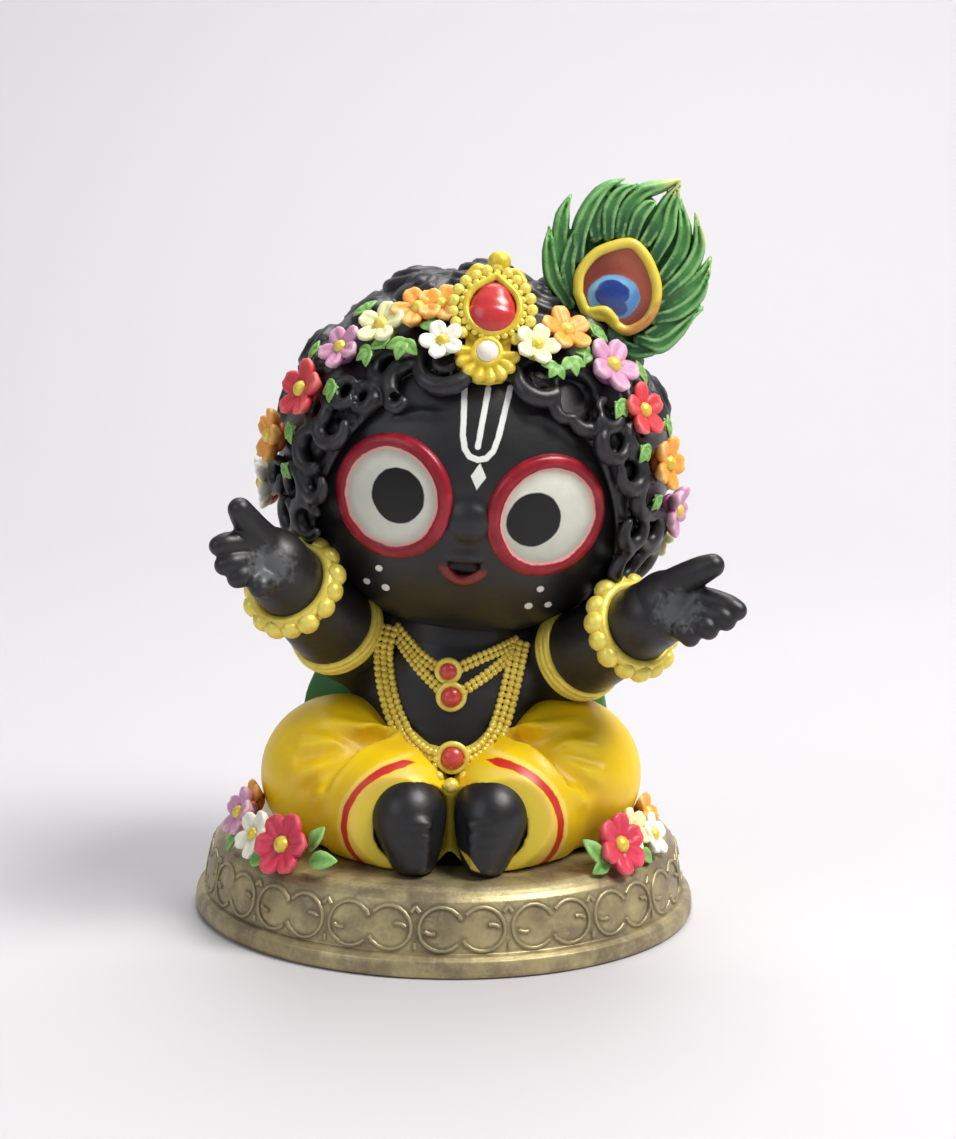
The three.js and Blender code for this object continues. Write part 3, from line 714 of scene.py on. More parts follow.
class Value:
    """A number inside a tree of nodes: arithmetic on it adds the tree's Math nodes."""

    def __init__(self, tree: "Tree", socket: Socket) -> None:
        """Holds a node's output and the tree that it belongs to."""
        self.tree = tree
        self.socket = socket

    def done(self, operation: str, *numbers: Number) -> "Value":
        """The result of a Math node."""
        socket = self.tree.made("ShaderNodeMath", dict(enumerate(numbers)), operation=operation)
        return Value(self.tree, socket)

    def __add__(self, other: Number) -> "Value":
        """The sum."""
        return self.done("ADD", self, other)

    def __sub__(self, other: Number) -> "Value":
        """The difference."""
        return self.done("SUBTRACT", self, other)

    def __rsub__(self, other: Number) -> "Value":
        """The difference, this value second."""
        return self.done("SUBTRACT", other, self)

    def __mul__(self, other: Number) -> "Value":
        """The product."""
        return self.done("MULTIPLY", self, other)

    def __truediv__(self, other: Number) -> "Value":
        """The quotient."""
        return self.done("DIVIDE", self, other)

    def __pow__(self, other: Number) -> "Value":
        """The power."""
        return self.done("POWER", self, other)

    def least(self, other: Number) -> "Value":
        """The smaller of two."""
        return self.done("MINIMUM", self, other)

    def most(self, other: Number) -> "Value":
        """The larger of two."""
        return self.done("MAXIMUM", self, other)

    def size(self) -> "Value":
        """The value without its sign."""
        return self.done("ABSOLUTE", self)

    def step(self, low: float, high: float) -> "Value":
        """Rises smoothly from 0 to 1 between two values, or falls where the second is the smaller.

        Args:
            low: Where it is 0.
            high: Where it is 1.

        Returns:
            The smooth step.
        """
        if high < low:
            return 1 - self.step(high, low)
        limits = {"Value": self, "From Min": low, "From Max": high}
        socket = self.tree.made("ShaderNodeMapRange", limits, interpolation_type="SMOOTHSTEP")
        return Value(self.tree, socket)


def root(a: Value, b: Value) -> Value:
    """The length of the two-part vector (a, b)."""
    return (a * a + b * b) ** 0.5


def segment(x: Value, z: Value, start: Row, end: Row) -> Value:
    """Distance in a plane from a straight stroke.

    Args:
        x: Where it is measured, across.
        z: Where it is measured, upward.
        start: One end of the stroke.
        end: The other end.

    Returns:
        The distance.
    """
    dx, dz = end[0] - start[0], end[1] - start[1]
    share = (((x - start[0]) * dx + (z - start[1]) * dz) / (dx * dx + dz * dz)).most(0.0).least(1.0)
    return root(x - start[0] - share * dx, z - start[1] - share * dz)


class Tree:
    """Adds nodes to a shader or a geometry tree."""

    tree: bpy.types.NodeTree

    def node(self, kind: str, inputs: dict[Any, Any], **settings: Any) -> bpy.types.Node:
        """A node with its settings made first, then its inputs set or linked.

        Args:
            kind: Node type.
            inputs: Input name or number to a plain value, a Value or an output.
            **settings: Attributes of the node.

        Returns:
            The node.
        """
        node = self.tree.nodes.new(kind)
        for key, value in settings.items():
            setattr(node, key, value)
        for key, value in inputs.items():
            self.feed(node.inputs[key], value)
        return node

    def made(self, kind: str, inputs: dict[Any, Any], **settings: Any) -> Socket:
        """The first output of a new node."""
        return self.node(kind, inputs, **settings).outputs[0]

    def feed(self, socket: Socket, value: Any) -> None:
        """Sets an input to a plain value, or links an output to it.

        Args:
            socket: The input.
            value: A plain value, a Value or an output.
        """
        source = value.socket if isinstance(value, Value) else value
        if isinstance(source, Socket):
            self.tree.links.new(source, socket)
        else:
            socket.default_value = source

    def parts(self, vector: Socket) -> list[Value]:
        """The three numbers of a vector."""
        return [Value(self, part) for part in self.node("ShaderNodeSeparateXYZ", {0: vector}).outputs]


class Painter(Tree):
    """Builds one material's nodes."""

    def __init__(self, name: str) -> None:
        """Starts the material.

        Args:
            name: Name of the material.
        """
        self.material = bpy.data.materials.new(name)
        self.material.use_nodes = True
        self.tree = self.material.node_tree
        self.shader = self.tree.nodes["Principled BSDF"]

    def constant(self, name: str, value: float) -> None:
        """Sets one of the shader's inputs to a plain number."""
        self.shader.inputs[name].default_value = value

    def place(self) -> Socket:
        """The place on the object in metres."""
        return self.node("ShaderNodeTexCoord", {}).outputs["Object"]

    def local(self, centre: Point, lean: float = 0.0) -> list[Value]:
        """Millimetres from a centre, in axes turned back by a lean about Y.

        Args:
            centre: The centre in millimetres.
            lean: The lean in degrees.

        Returns:
            The three parts.
        """
        move = {
            "Vector": self.place(), "Location": tuple(centre * MM),
            "Rotation": (0, math.radians(lean), 0), "Scale": (MM, MM, MM),
        }
        return self.parts(self.made("ShaderNodeMapping", move, vector_type="TEXTURE"))

    def noise(self, grain: float, detail: float = 3, rough: float = 0.55) -> Value:
        """Cloudy noise from 0 to 1, with grains of that many millimetres."""
        settings = {"Vector": self.place(), "Scale": 1000 / grain, "Detail": detail, "Roughness": rough}
        return Value(self, self.made("ShaderNodeTexNoise", settings))

    def speckle(self, grain: float, spread: float, detail: float = 3) -> Value:
        """Noise around zero that reaches about half its spread both ways."""
        return (self.noise(grain, detail) - 0.5) * spread

    def own(self, name: str) -> Value:
        """A number that the mesh carries at each corner."""
        return Value(self, self.node("ShaderNodeAttribute", {}, attribute_name=name).outputs["Fac"])

    def mixed(self, low: Shade, high: Shade, share: Number) -> Socket:
        """A colour between two, by share."""
        inputs = {"Factor": share, 6: linear(low), 7: linear(high)}
        return self.node("ShaderNodeMix", inputs, data_type="RGBA", clamp_factor=True).outputs[2]

    def finish(
        self, colour: Shade, rough: Number, relief: Optional[Value] = None, depth: float = 0.1
    ) -> None:
        """Feeds the shader.

        Args:
            colour: Base colour.
            rough: Roughness.
            relief: Height of the fine relief, if any.
            depth: Height in millimetres of relief 1.
        """
        self.feed(self.shader.inputs["Base Color"], linear(colour))
        self.feed(self.shader.inputs["Roughness"], rough)
        if relief is not None:
            bump = self.made("ShaderNodeBump", {"Distance": depth * MM, "Height": relief})
            self.feed(self.shader.inputs["Normal"], bump)


@dataclass(frozen=True)
class Paint:
    """A hand-brushed coat: its colour clouds a little, with painted shade in the hollows and a painted
    highlight on the ridges.
    """

    name: str
    colour: Colour
    # The darker tone: painted shade in the hollows, and a petal's heart colour.
    shade_and_heart: Colour
    # The lighter tone: a painted highlight on the ridges, and a petal's tip colour.
    light: Colour
    rough: float = 0.5
    metallic: float = 0.0
    coat: float = 0.0
    # How much of the painted shade and of the painted highlight goes in.
    shade_share: float = 0.7
    highlight_share: float = 0.3
    grain: float = 2.5
    relief: float = 0.03

    def start(self) -> Painter:
        """Sets the coat's constants.

        Returns:
            A painter for the rest of the coat.
        """
        painter = Painter(self.name)
        painter.constant("Metallic", self.metallic)
        painter.constant("Coat Weight", self.coat)
        painter.constant("Coat Roughness", 0.18)
        return painter

    def brushed(self, painter: Painter, base: Shade) -> Socket:
        """Puts clouds on a colour, painted shade in its hollows and a painted highlight on its ridges.

        Args:
            painter: The painter.
            base: The colour.

        Returns:
            The brushed colour.
        """
        hollow = painter.own("hollow")
        clouds = painter.noise(self.grain)
        spots = painter.noise(self.grain * 0.22, 4, 0.65)
        # Painted highlight: the lighter tone on ridges and on light clouds.
        ridge = (clouds - 0.5) * 0.5 + (spots - 0.5) * 0.4 - hollow * 1.6
        lit = painter.mixed(base, self.light, ridge.step(-0.05, 0.35) * self.highlight_share)
        # Painted shade: the darker tone in the hollows.
        deep = (hollow * 2.2 + (spots - 0.5) * 0.3).step(0.0, 0.42)
        return painter.mixed(lit, self.shade_and_heart, deep * self.shade_share)

    def dress(self, painter: Painter, colour: Shade, extra: Optional[Value] = None) -> Material:
        """Ends the coat with its roughness and its brush relief.

        Args:
            painter: The painter.
            colour: The finished base colour.
            extra: More relief to add, if any.

        Returns:
            The material.
        """
        fine = painter.noise(self.grain * 0.3, 4, 0.6)
        rough = painter.noise(self.grain * 1.3) * 0.22 + (self.rough - 0.11)
        painter.finish(colour, rough, fine if extra is None else fine + extra, self.relief)
        return painter.material

    def material(self) -> Material:
        """The plain coat."""
        painter = self.start()
        return self.dress(painter, self.brushed(painter, self.colour))


BLACK = Paint(
    "black_satin", (24, 23, 25), (10, 9, 11), (50, 49, 52), 0.42, grain=3.0, highlight_share=0.35
)
HAIR_BLACK = Paint(
    "black_hair", (21, 20, 22), (5, 5, 6), (70, 69, 72), 0.38, shade_share=0.95, highlight_share=0.4
)
GOLD = Paint(
    "yellow_gold", (214, 182, 40), (104, 70, 14), (250, 236, 120), 0.36, 0.25, shade_share=0.9,
    highlight_share=0.65, grain=1.6,
)
DEEP_GOLD = Paint(
    "necklace_gold", (204, 162, 34), (112, 66, 14), (250, 236, 120), 0.36, 0.25, shade_share=0.9,
    highlight_share=0.65, grain=1.6,
)
GEM = Paint("red_stone", (190, 42, 44), (110, 20, 24), (224, 96, 86), 0.3, coat=0.5, grain=1.8)
PEARL = Paint("pearl_white", (236, 230, 214), (176, 164, 130), (252, 250, 240), 0.3, coat=0.4)
GREEN = Paint(
    "leaf_green", (84, 150, 62), (26, 66, 30), (168, 206, 118), 0.42, grain=1.4, highlight_share=0.6
)
CLOTH_GREEN = Paint("cape_green", (62, 122, 72), (26, 62, 36), (120, 168, 122), 0.5, grain=3.0)


class Bloom(Enum):
    """Paints of the petals."""

    WHITE = Paint("petal_white", (238, 236, 216), (170, 164, 118), (252, 252, 246), 0.44, grain=1.4)
    CREAM = Paint("petal_cream", (236, 232, 176), (160, 160, 84), (250, 250, 222), 0.44, grain=1.4)
    ORANGE = Paint("petal_orange", (238, 158, 60), (176, 90, 30), (250, 206, 128), 0.44, grain=1.4)
    CORAL = Paint("petal_coral", (214, 62, 70), (132, 22, 36), (242, 132, 124), 0.44, grain=1.4)
    LILAC = Paint("petal_lilac", (206, 146, 180), (132, 72, 116), (238, 202, 216), 0.44, grain=1.4)
    ROSE = Paint("petal_rose", (208, 52, 78), (140, 22, 46), (232, 104, 116), 0.4, grain=2.0)

    def material(self) -> Material:
        """Paints a petal deeper at the heart and lighter at the tip.

        Returns:
            The material.
        """
        coat = self.value
        painter = coat.start()
        reach = painter.own("reach")
        deep = painter.mixed(coat.shade_and_heart, coat.colour, (reach + painter.speckle(0.5, 0.5)).step(0.0, 0.42))
        tip = painter.mixed(deep, coat.light, (reach + painter.speckle(0.8, 0.7)).step(0.62, 1.05) * 0.7)
        return coat.dress(painter, tip)


# Geometry Nodes


@dataclass(frozen=True)
class Spot:
    """A place for one unit: its point, the way it looks, its size in millimetres and the way it leans."""

    place: Point
    facing: Point
    size: float
    along: Point = field(default_factory=lambda: UP)


def seed_mesh(name: str, points: np.ndarray, edges: Sequence[Row] = (), **layers: Any) -> bpy.types.Mesh:
    """A mesh of bare points or edges.

    Args:
        name: Name of the mesh.
        points: Points in millimetres.
        edges: Pairs of point numbers.
        **layers: Layer name to one number or direction for each point.

    Returns:
        The mesh.
    """
    mesh = bpy.data.meshes.new(name)
    mesh.from_pydata((points * MM).tolist(), list(edges), [])
    for key, values in layers.items():
        mark(mesh, key, np.array(values))
    return mesh


class Recipe(Tree):
    """A Geometry Nodes tree that turns a mesh of points or edges into a finished piece."""

    def __init__(self, name: str) -> None:
        """Starts the tree with its geometry in and out.

        Args:
            name: Name of the tree.
        """
        self.tree = bpy.data.node_groups.new(name, "GeometryNodeTree")
        for way in ("INPUT", "OUTPUT"):
            self.tree.interface.new_socket(name="Geometry", in_out=way, socket_type="NodeSocketGeometry")
        self.entry = self.tree.nodes.new("NodeGroupInput")
        self.names: dict[str, str] = {}

    def size(self, name: str, kind: str = "Float") -> Socket:
        """Adds a named input to the tree.

        Args:
            name: Name of the input.
            kind: What it holds: Float, Int or Material.

        Returns:
            The input, as the tree's nodes see it.
        """
        item = self.tree.interface.new_socket(name=name, in_out="INPUT", socket_type="NodeSocket" + kind)
        self.names[name] = item.identifier
        return next(s for s in self.entry.outputs if s.identifier == item.identifier)

    def attribute(self, name: str, kind: str) -> Socket:
        """A value that the incoming mesh carries."""
        node = self.node("GeometryNodeInputNamedAttribute", {"Name": name}, data_type=kind)
        return next(s for s in node.outputs if s.enabled and s.name == "Attribute")

    def position(self) -> Socket:
        """The position of each point."""
        return self.made("GeometryNodeInputPosition", {})

    def ball(self, segments: int, rings: int) -> Socket:
        """A sphere of radius one."""
        return self.made("GeometryNodeMeshUVSphere", {"Segments": segments, "Rings": rings, "Radius": 1.0})

    def vector(self, x: Any, y: Any, z: Any) -> Socket:
        """A vector from its three numbers."""
        return self.made("ShaderNodeCombineXYZ", {0: x, 1: y, 2: z})

    def moved(self, geometry: Socket, **changes: Any) -> Socket:
        """The geometry with a Scale, Rotation or Translation."""
        return self.made("GeometryNodeTransform", {0: geometry, **changes})

    def reshaped(self, geometry: Socket, position: Socket) -> Socket:
        """The geometry with each point at a new position."""
        return self.made("GeometryNodeSetPosition", {0: geometry, "Position": position})

    def copies(self, points: Socket, one: Socket, **changes: Any) -> Socket:
        """One instance of the unit on every point, with a Rotation and perhaps a Scale."""
        return self.made("GeometryNodeInstanceOnPoints", {"Points": points, "Instance": one, **changes})

    def joined(self, *parts: Socket) -> Socket:
        """Joins geometries.

        Args:
            *parts: The geometries.

        Returns:
            All of them as one.
        """
        node = self.node("GeometryNodeJoinGeometry", {})
        for part in parts:
            self.tree.links.new(part, node.inputs[0])
        return node.outputs[0]

    def painted(self, geometry: Socket, material: Socket) -> Socket:
        """The geometry with a material set."""
        return self.made("GeometryNodeSetMaterial", {0: geometry, "Material": material})

    def end(self, geometry: Socket) -> None:
        """Realizes the instances, smooths the shading and closes the tree.

        Args:
            geometry: The tree's result.
        """
        whole = self.made("GeometryNodeRealizeInstances", {0: geometry})
        smooth = self.made("GeometryNodeSetShadeSmooth", {0: whole})
        self.tree.links.new(smooth, self.tree.nodes.new("NodeGroupOutput").inputs[0])

    def run(self, name: str, mesh: bpy.types.Mesh, values: dict[str, Any], node: str) -> None:
        """Runs the tree on a mesh and settles the piece that comes out.

        Args:
            name: Name of the piece.
            mesh: The mesh that goes in.
            values: Input name to value.
            node: The solid that the piece belongs to.
        """
        seed = shown(name + "_seed", mesh)
        modifier = seed.modifiers.new("recipe", "NODES")
        modifier.node_group = self.tree
        for key, value in values.items():
            modifier[self.names[key]] = value
        graph = bpy.context.evaluated_depsgraph_get()
        result = bpy.data.meshes.new_from_object(seed.evaluated_get(graph))
        seed.modifiers.clear()
        bpy.data.objects.remove(seed)
        result.name = name
        mark_hollows(result, 1)
        settle(shown(name, result), node)

    def scatter(self, name: str, spots: Sequence[Spot], node: str = "figure", **values: Any) -> None:
        """Sets the unit on spots and settles the piece.

        Args:
            name: Name of the piece.
            spots: The spots.
            node: The solid that the piece belongs to.
            **values: The tree's inputs, with _ for a space in a name.
        """
        layers = {key: [getattr(spot, key) for spot in spots] for key in ("facing", "along", "size")}
        mesh = seed_mesh(name + "_spots", np.array([spot.place for spot in spots]), **layers)
        self.run(name, mesh, {key.replace("_", " "): value for key, value in values.items()}, node)


def unit_recipe(name: str, build: Callable[[Recipe], Socket]) -> Recipe:
    """A recipe that sets one unit on every point, turned by its facing and along and scaled by its size.

    Args:
        name: Name of the tree.
        build: Function that adds the unit of size one to the recipe and returns its geometry.

    Returns:
        The recipe.
    """
    recipe = Recipe(name)
    looks = {0: recipe.attribute("facing", "FLOAT_VECTOR"), 1: recipe.attribute("along", "FLOAT_VECTOR")}
    turn = recipe.made("FunctionNodeAxesToRotation", looks, primary_axis="Z", secondary_axis="X")
    size = Value(recipe, recipe.attribute("size", "FLOAT")) * MM
    recipe.end(recipe.copies(recipe.entry.outputs[0], build(recipe), Rotation=turn, Scale=size))
    return recipe


def bead_unit(recipe: Recipe) -> Socket:
    """A bead, lower along its facing by the Height input.

    Args:
        recipe: The recipe that it is added to.

    Returns:
        The bead.
    """
    paint = recipe.size("Paint", "Material")
    high = recipe.size("Height")
    return recipe.painted(recipe.moved(recipe.ball(12, 8), Scale=recipe.vector(1.0, 1.0, high)), paint)


def blossom_unit(recipe: Recipe) -> Socket:
    """A blossom of blunt grooved petals around a round heart, each petal tilted up by the Tilt input.

    Args:
        recipe: The recipe that it is added to.

    Returns:
        The blossom.
    """
    paint = recipe.size("Petal paint", "Material")
    heart_paint = recipe.size("Heart paint", "Material")
    count = recipe.size("Petals", "Int")
    width = recipe.size("Petal width")
    heart = recipe.size("Heart")
    tilt = recipe.size("Tilt")
    ball = recipe.ball(16, 10)
    petal = recipe.moved(ball, Scale=recipe.vector(0.52, width, 0.21))
    x, y, z = recipe.parts(recipe.position())
    side = y * (x * 0.5 + 0.95)
    bowl = z + (y * y + x * x) * 0.55 + (y.size() * 7).least(1.0) * 0.07
    bent = recipe.reshaped(petal, recipe.vector(x, side, bowl))
    layer = {0: bent, "Name": "reach", "Value": x + 0.46}
    marked = recipe.made("GeometryNodeStoreNamedAttribute", layer, data_type="FLOAT", domain="POINT")
    tilted = recipe.moved(marked, Rotation=recipe.vector(0.0, 0.0 - Value(recipe, tilt), 0.0))
    ring = recipe.made("GeometryNodeMeshCircle", {"Vertices": count, "Radius": 0.53})
    outward = recipe.made(
        "FunctionNodeAlignRotationToVector", {"Vector": recipe.position()}, axis="X", pivot_axis="Z"
    )
    petals = recipe.copies(ring, tilted, Rotation=outward)
    calyx = recipe.moved(ball, Scale=(0.55, 0.55, 0.3), Translation=(0.0, 0.0, -0.22))
    dome = recipe.vector(heart, heart, Value(recipe, heart) * 0.9)
    middle = recipe.moved(ball, Scale=dome, Translation=(0.0, 0.0, 0.14))
    outer = recipe.joined(petals, calyx)
    return recipe.joined(recipe.painted(outer, paint), recipe.painted(middle, heart_paint))


def leaf_unit(recipe: Recipe) -> Socket:
    """A pointed leaf along X, folded up on both sides of its rib.

    Args:
        recipe: The recipe that it is added to.

    Returns:
        The leaf.
    """
    paint = recipe.size("Paint", "Material")
    width = recipe.size("Width")
    ball = recipe.ball(16, 8)
    x, y, z = recipe.parts(recipe.position())
    side = y * (1 - x * x * 0.55) * width
    fold = side.size() * 0.35 - x * x * 0.15
    return recipe.painted(recipe.reshaped(ball, recipe.vector(x, side, z * 0.2 + fold)), paint)


@dataclass
class Kit:
    """The shared recipes and paints."""

    beads: Recipe = field(default_factory=lambda: unit_recipe("beads", bead_unit))
    blossoms: Recipe = field(default_factory=lambda: unit_recipe("blossoms", blossom_unit))
    leaves: Recipe = field(default_factory=lambda: unit_recipe("leaves", leaf_unit))
    black: Material = field(default_factory=BLACK.material)
    hair: Material = field(default_factory=HAIR_BLACK.material)
    gold: Material = field(default_factory=GOLD.material)
    deep_gold: Material = field(default_factory=DEEP_GOLD.material)
    gem: Material = field(default_factory=GEM.material)
    pearl: Material = field(default_factory=PEARL.material)
    green: Material = field(default_factory=GREEN.material)
    petals: dict[Bloom, Material] = field(default_factory=lambda: {kind: kind.material() for kind in Bloom})

    def bead_rows(self, name: str, spots: Sequence[Spot], high: float = 1.0) -> None:
        """Gold beads at spots, as high as a share of their width; a necklace's are of deeper gold."""
        gold = self.deep_gold if name.startswith("necklace") else self.gold
        self.beads.scatter(name, spots, Paint=gold, Height=high)

    def flowers(self, name: str, rows: Sequence[tuple[Bloom, Spot]], node: str, petals: int = 5) -> None:
        """Blossoms, one piece for each colour.

        Args:
            name: Start of the pieces' names.
            rows: Colour and spot of each blossom.
            node: The solid that the pieces belong to.
            petals: Petals of a blossom.
        """
        shape = {"Petals": petals, "Petal_width": 0.39 if petals == 5 else 0.4, "Heart": 0.28, "Tilt": 0.22}
        for bloom in Bloom:
            spots = [spot for kind, spot in rows if kind is bloom]
            if spots:
                paints = {"Petal_paint": self.petals[bloom], "Heart_paint": self.gold}
                self.blossoms.scatter(f"{name}_{bloom.name.lower()}", spots, node, **paints, **shape)

    def foliage(self, name: str, spots: Sequence[Spot], node: str) -> None:
        """Leaves at spots."""
        self.leaves.scatter(name, spots, node, Paint=self.green, Width=0.58)


# The figure's pieces


FIGURE_FOOT = 9.72  # height of the figure's flat underside, just over the plinth


@dataclass(frozen=True)
class HeadShape:
    """The egg that the face, the hair and everything on them are laid out on."""

    centre: Point = field(default_factory=lambda: xyz(2.7, -1, 53.9))
    radii: Point = field(default_factory=lambda: xyz(21.5, 20, 20.5))
    lean: float = 6.5

    @property
    def axes(self) -> np.ndarray:
        """The head's own axes, as columns."""
        c, s = math.cos(math.radians(self.lean)), math.sin(math.radians(self.lean))
        return np.array([[c, 0, s], [0, 1, 0], [-s, 0, c]])

    def egg(self, grown: float = 0.0) -> Egg:
        """The head's egg, grown all round."""
        return Egg(self.centre, self.radii + grown, self.axes)

    def spot(self, share: Point, lift: float) -> tuple[Point, Point]:
        """The place and the outward direction at a unit direction of the egg."""
        facing = self.axes @ unit(share / self.radii)
        return self.centre + self.axes @ (share * self.radii) + facing * lift, facing

    def crown(self, turn: float, height: float, lift: float = 0.0) -> tuple[Point, Point]:
        """The place at a turn from the front and a height angle, in degrees."""
        t, h = math.radians(turn), math.radians(height)
        return self.spot(xyz(math.cos(h) * math.sin(t), -math.cos(h) * math.cos(t), math.sin(h)), lift)

    def face(self, across: float, up: float, lift: float = 0.0) -> tuple[Point, Point]:
        """The place at millimetres across and up from the middle of the face."""
        x, z = across / self.radii[0], up / self.radii[2]
        return self.spot(xyz(x, -math.sqrt(max(0.0, 1 - x * x - z * z)), z), lift)

    def onto(self, place: Point, lift: float) -> Point:
        """A place moved straight onto the egg and lifted off it."""
        local = (place - self.centre) @ self.axes / self.radii
        return self.spot(unit(local), lift)[0]

    def course(self, rows: Sequence[Row], lift: float) -> np.ndarray:
        """Places at (turn, height) rows; a third number in a row is its own lift."""
        return np.array([self.crown(r[0], r[1], r[2] if len(r) > 2 else lift)[0] for r in rows])


HEAD = HeadShape()


@dataclass(frozen=True)
class Block:
    """Everything in front of a plane inside an elliptical outline, for carving the face opening."""

    shape: HeadShape
    middle: float
    wide: float
    high: float

    def reach(self) -> tuple[Point, Point]:
        """The lowest and highest corner."""
        return self.shape.centre - xyz(30, 30, 35), self.shape.centre + xyz(30, 1, 30)

    def distance(self, points: np.ndarray) -> np.ndarray:
        """How far each point lies outside the surface.

        Args:
            points: The points.

        Returns:
            Their distances, negative inside.
        """
        local = (points - self.shape.centre) @ self.shape.axes
        x, z = local[..., 0] / self.wide, (local[..., 2] - self.middle) / self.high
        ring = np.sqrt(x * x + z * z)
        slope = np.sqrt((x / self.wide) ** 2 + (z / self.high) ** 2)
        return np.maximum(ring * (ring - 1) / np.maximum(slope, 1e-6), local[..., 1])


@dataclass
class Face:
    """The black head with its raised nose, open mouth and painted marks."""

    nose_radii: Point = field(default_factory=lambda: xyz(1.9, 1.8, 1.0))
    mouth: tuple[float, float] = (0.2, -9.6)
    mouth_half: float = 2.3
    stroke: float = 0.33
    lip: tuple[Row, ...] = ((-2.15, 0.1), (-1.3, -1.2), (0, -1.75), (1.3, -1.15), (2.2, 0.2))
    mark: tuple[tuple[Row, ...], ...] = (
        ((0.35, 10.4), (0.0, 4.2)),
        ((0.2, 2.75), (-0.75, 3.0), (-1.4, 3.8), (-1.8, 5.2), (-2.0, 7.6), (-2.3, 10.3)),
        ((0.2, 2.75), (1.1, 3.05), (1.75, 3.9), (2.1, 5.3), (2.4, 7.8), (2.75, 10.8)),
    )
    brows: tuple[tuple[Row, ...], ...] = (
        ((14.7, 22.7), (21.4, 22.8), (26.4, 20.3), (31.4, 16.7)),
        ((-27.3, 16.8), (-22.2, 18.8), (-16.5, 19.8), (-12.4, 19.8)),
    )
    cheek_dots: tuple[Row, ...] = ((9.2, -11.65, 0.42), (8.2, -14.05, 0.46), (10.45, -13.85, 0.42))
    cell: float = 0.4

    def build(self) -> Shell:
        """Models the head.

        Returns:
            Its shell.
        """
        clay = Clay(HEAD.centre - 24, HEAD.centre + 24, self.cell)
        clay.add(HEAD.egg())
        nose, facing = HEAD.face(0.2, -4.3, 0.1)
        clay.add(Egg(nose, self.nose_radii, axes_at(facing)), 1.6)
        x, z = self.mouth
        hollow, facing = HEAD.face(x, z - 0.5)
        clay.carve(Egg(hollow, xyz(self.mouth_half, 1.55, 1.4), axes_at(facing)), 0.4)
        upper, facing = HEAD.face(x, z + 1.15)
        clay.add(Egg(upper, xyz(self.mouth_half - 0.6, 0.75, 0.45), axes_at(facing)), 0.9)
        path = np.array([HEAD.face(x + u, z + w, -0.05)[0] for u, w in self.lip])
        clay.add(strand(path, [0.25, 0.5, 0.62, 0.5, 0.25]), 0.35)
        for brow in self.brows:
            clay.add(strand(HEAD.course(brow, -0.1), [0.25, 0.45, 0.45, 0.25]), 0.5)
        return clay.skin()

    def paint(self) -> Material:
        """Black, with the white forehead mark, the cheek dots and the red lip.

        Returns:
            The material.
        """
        painter = BLACK.start()
        x, y, z = painter.local(HEAD.centre, HEAD.lean)
        wobble = painter.speckle(0.9, 0.3)
        ends = [pair for stroke in self.mark for pair in zip(stroke[:-1], stroke[1:])]
        mark = segment(x, z, *ends[0])
        for start, end in ends[1:]:
            mark = mark.least(segment(x, z, start, end))
        gem = ((x - 0.5).size() / 0.85 + (z - 0.95).size() / 1.55 - 1) + self.stroke
        dots = None
        for side in (-1, 1):
            for u, w, size in self.cheek_dots:
                spot = root(x - side * u, z - w) - size + self.stroke
                dots = spot if dots is None else dots.least(spot)
        white = mark.least(gem).least(dots) + wobble * 0.5
        white = white.step(self.stroke + 0.06, self.stroke - 0.06)
        front = y.step(-6.0, -7.0)
        skin = BLACK.brushed(painter, BLACK.colour)
        u, w = self.mouth
        lip = root(x - u, (z - w - 0.3) * 1.12) - 2.2
        lip = (lip.size() + wobble - 0.1).step(0.6, 0.4) * (z - w).step(0.0, -0.5)
        inside = root(x - u, (z - w + 0.2) * 1.6).step(2.3, 1.9)
        skin = painter.mixed(skin, (26, 8, 8), inside * front * 0.8)
        skin = painter.mixed(skin, (128, 36, 34), lip * front)
        skin = painter.mixed(skin, (232, 234, 230), white * front)
        return BLACK.dress(painter, skin, white * 2.5)

    def make(self) -> None:
        """Builds and dresses the head."""
        settle(mesh_piece("head", self.build(), self.paint(), 2))


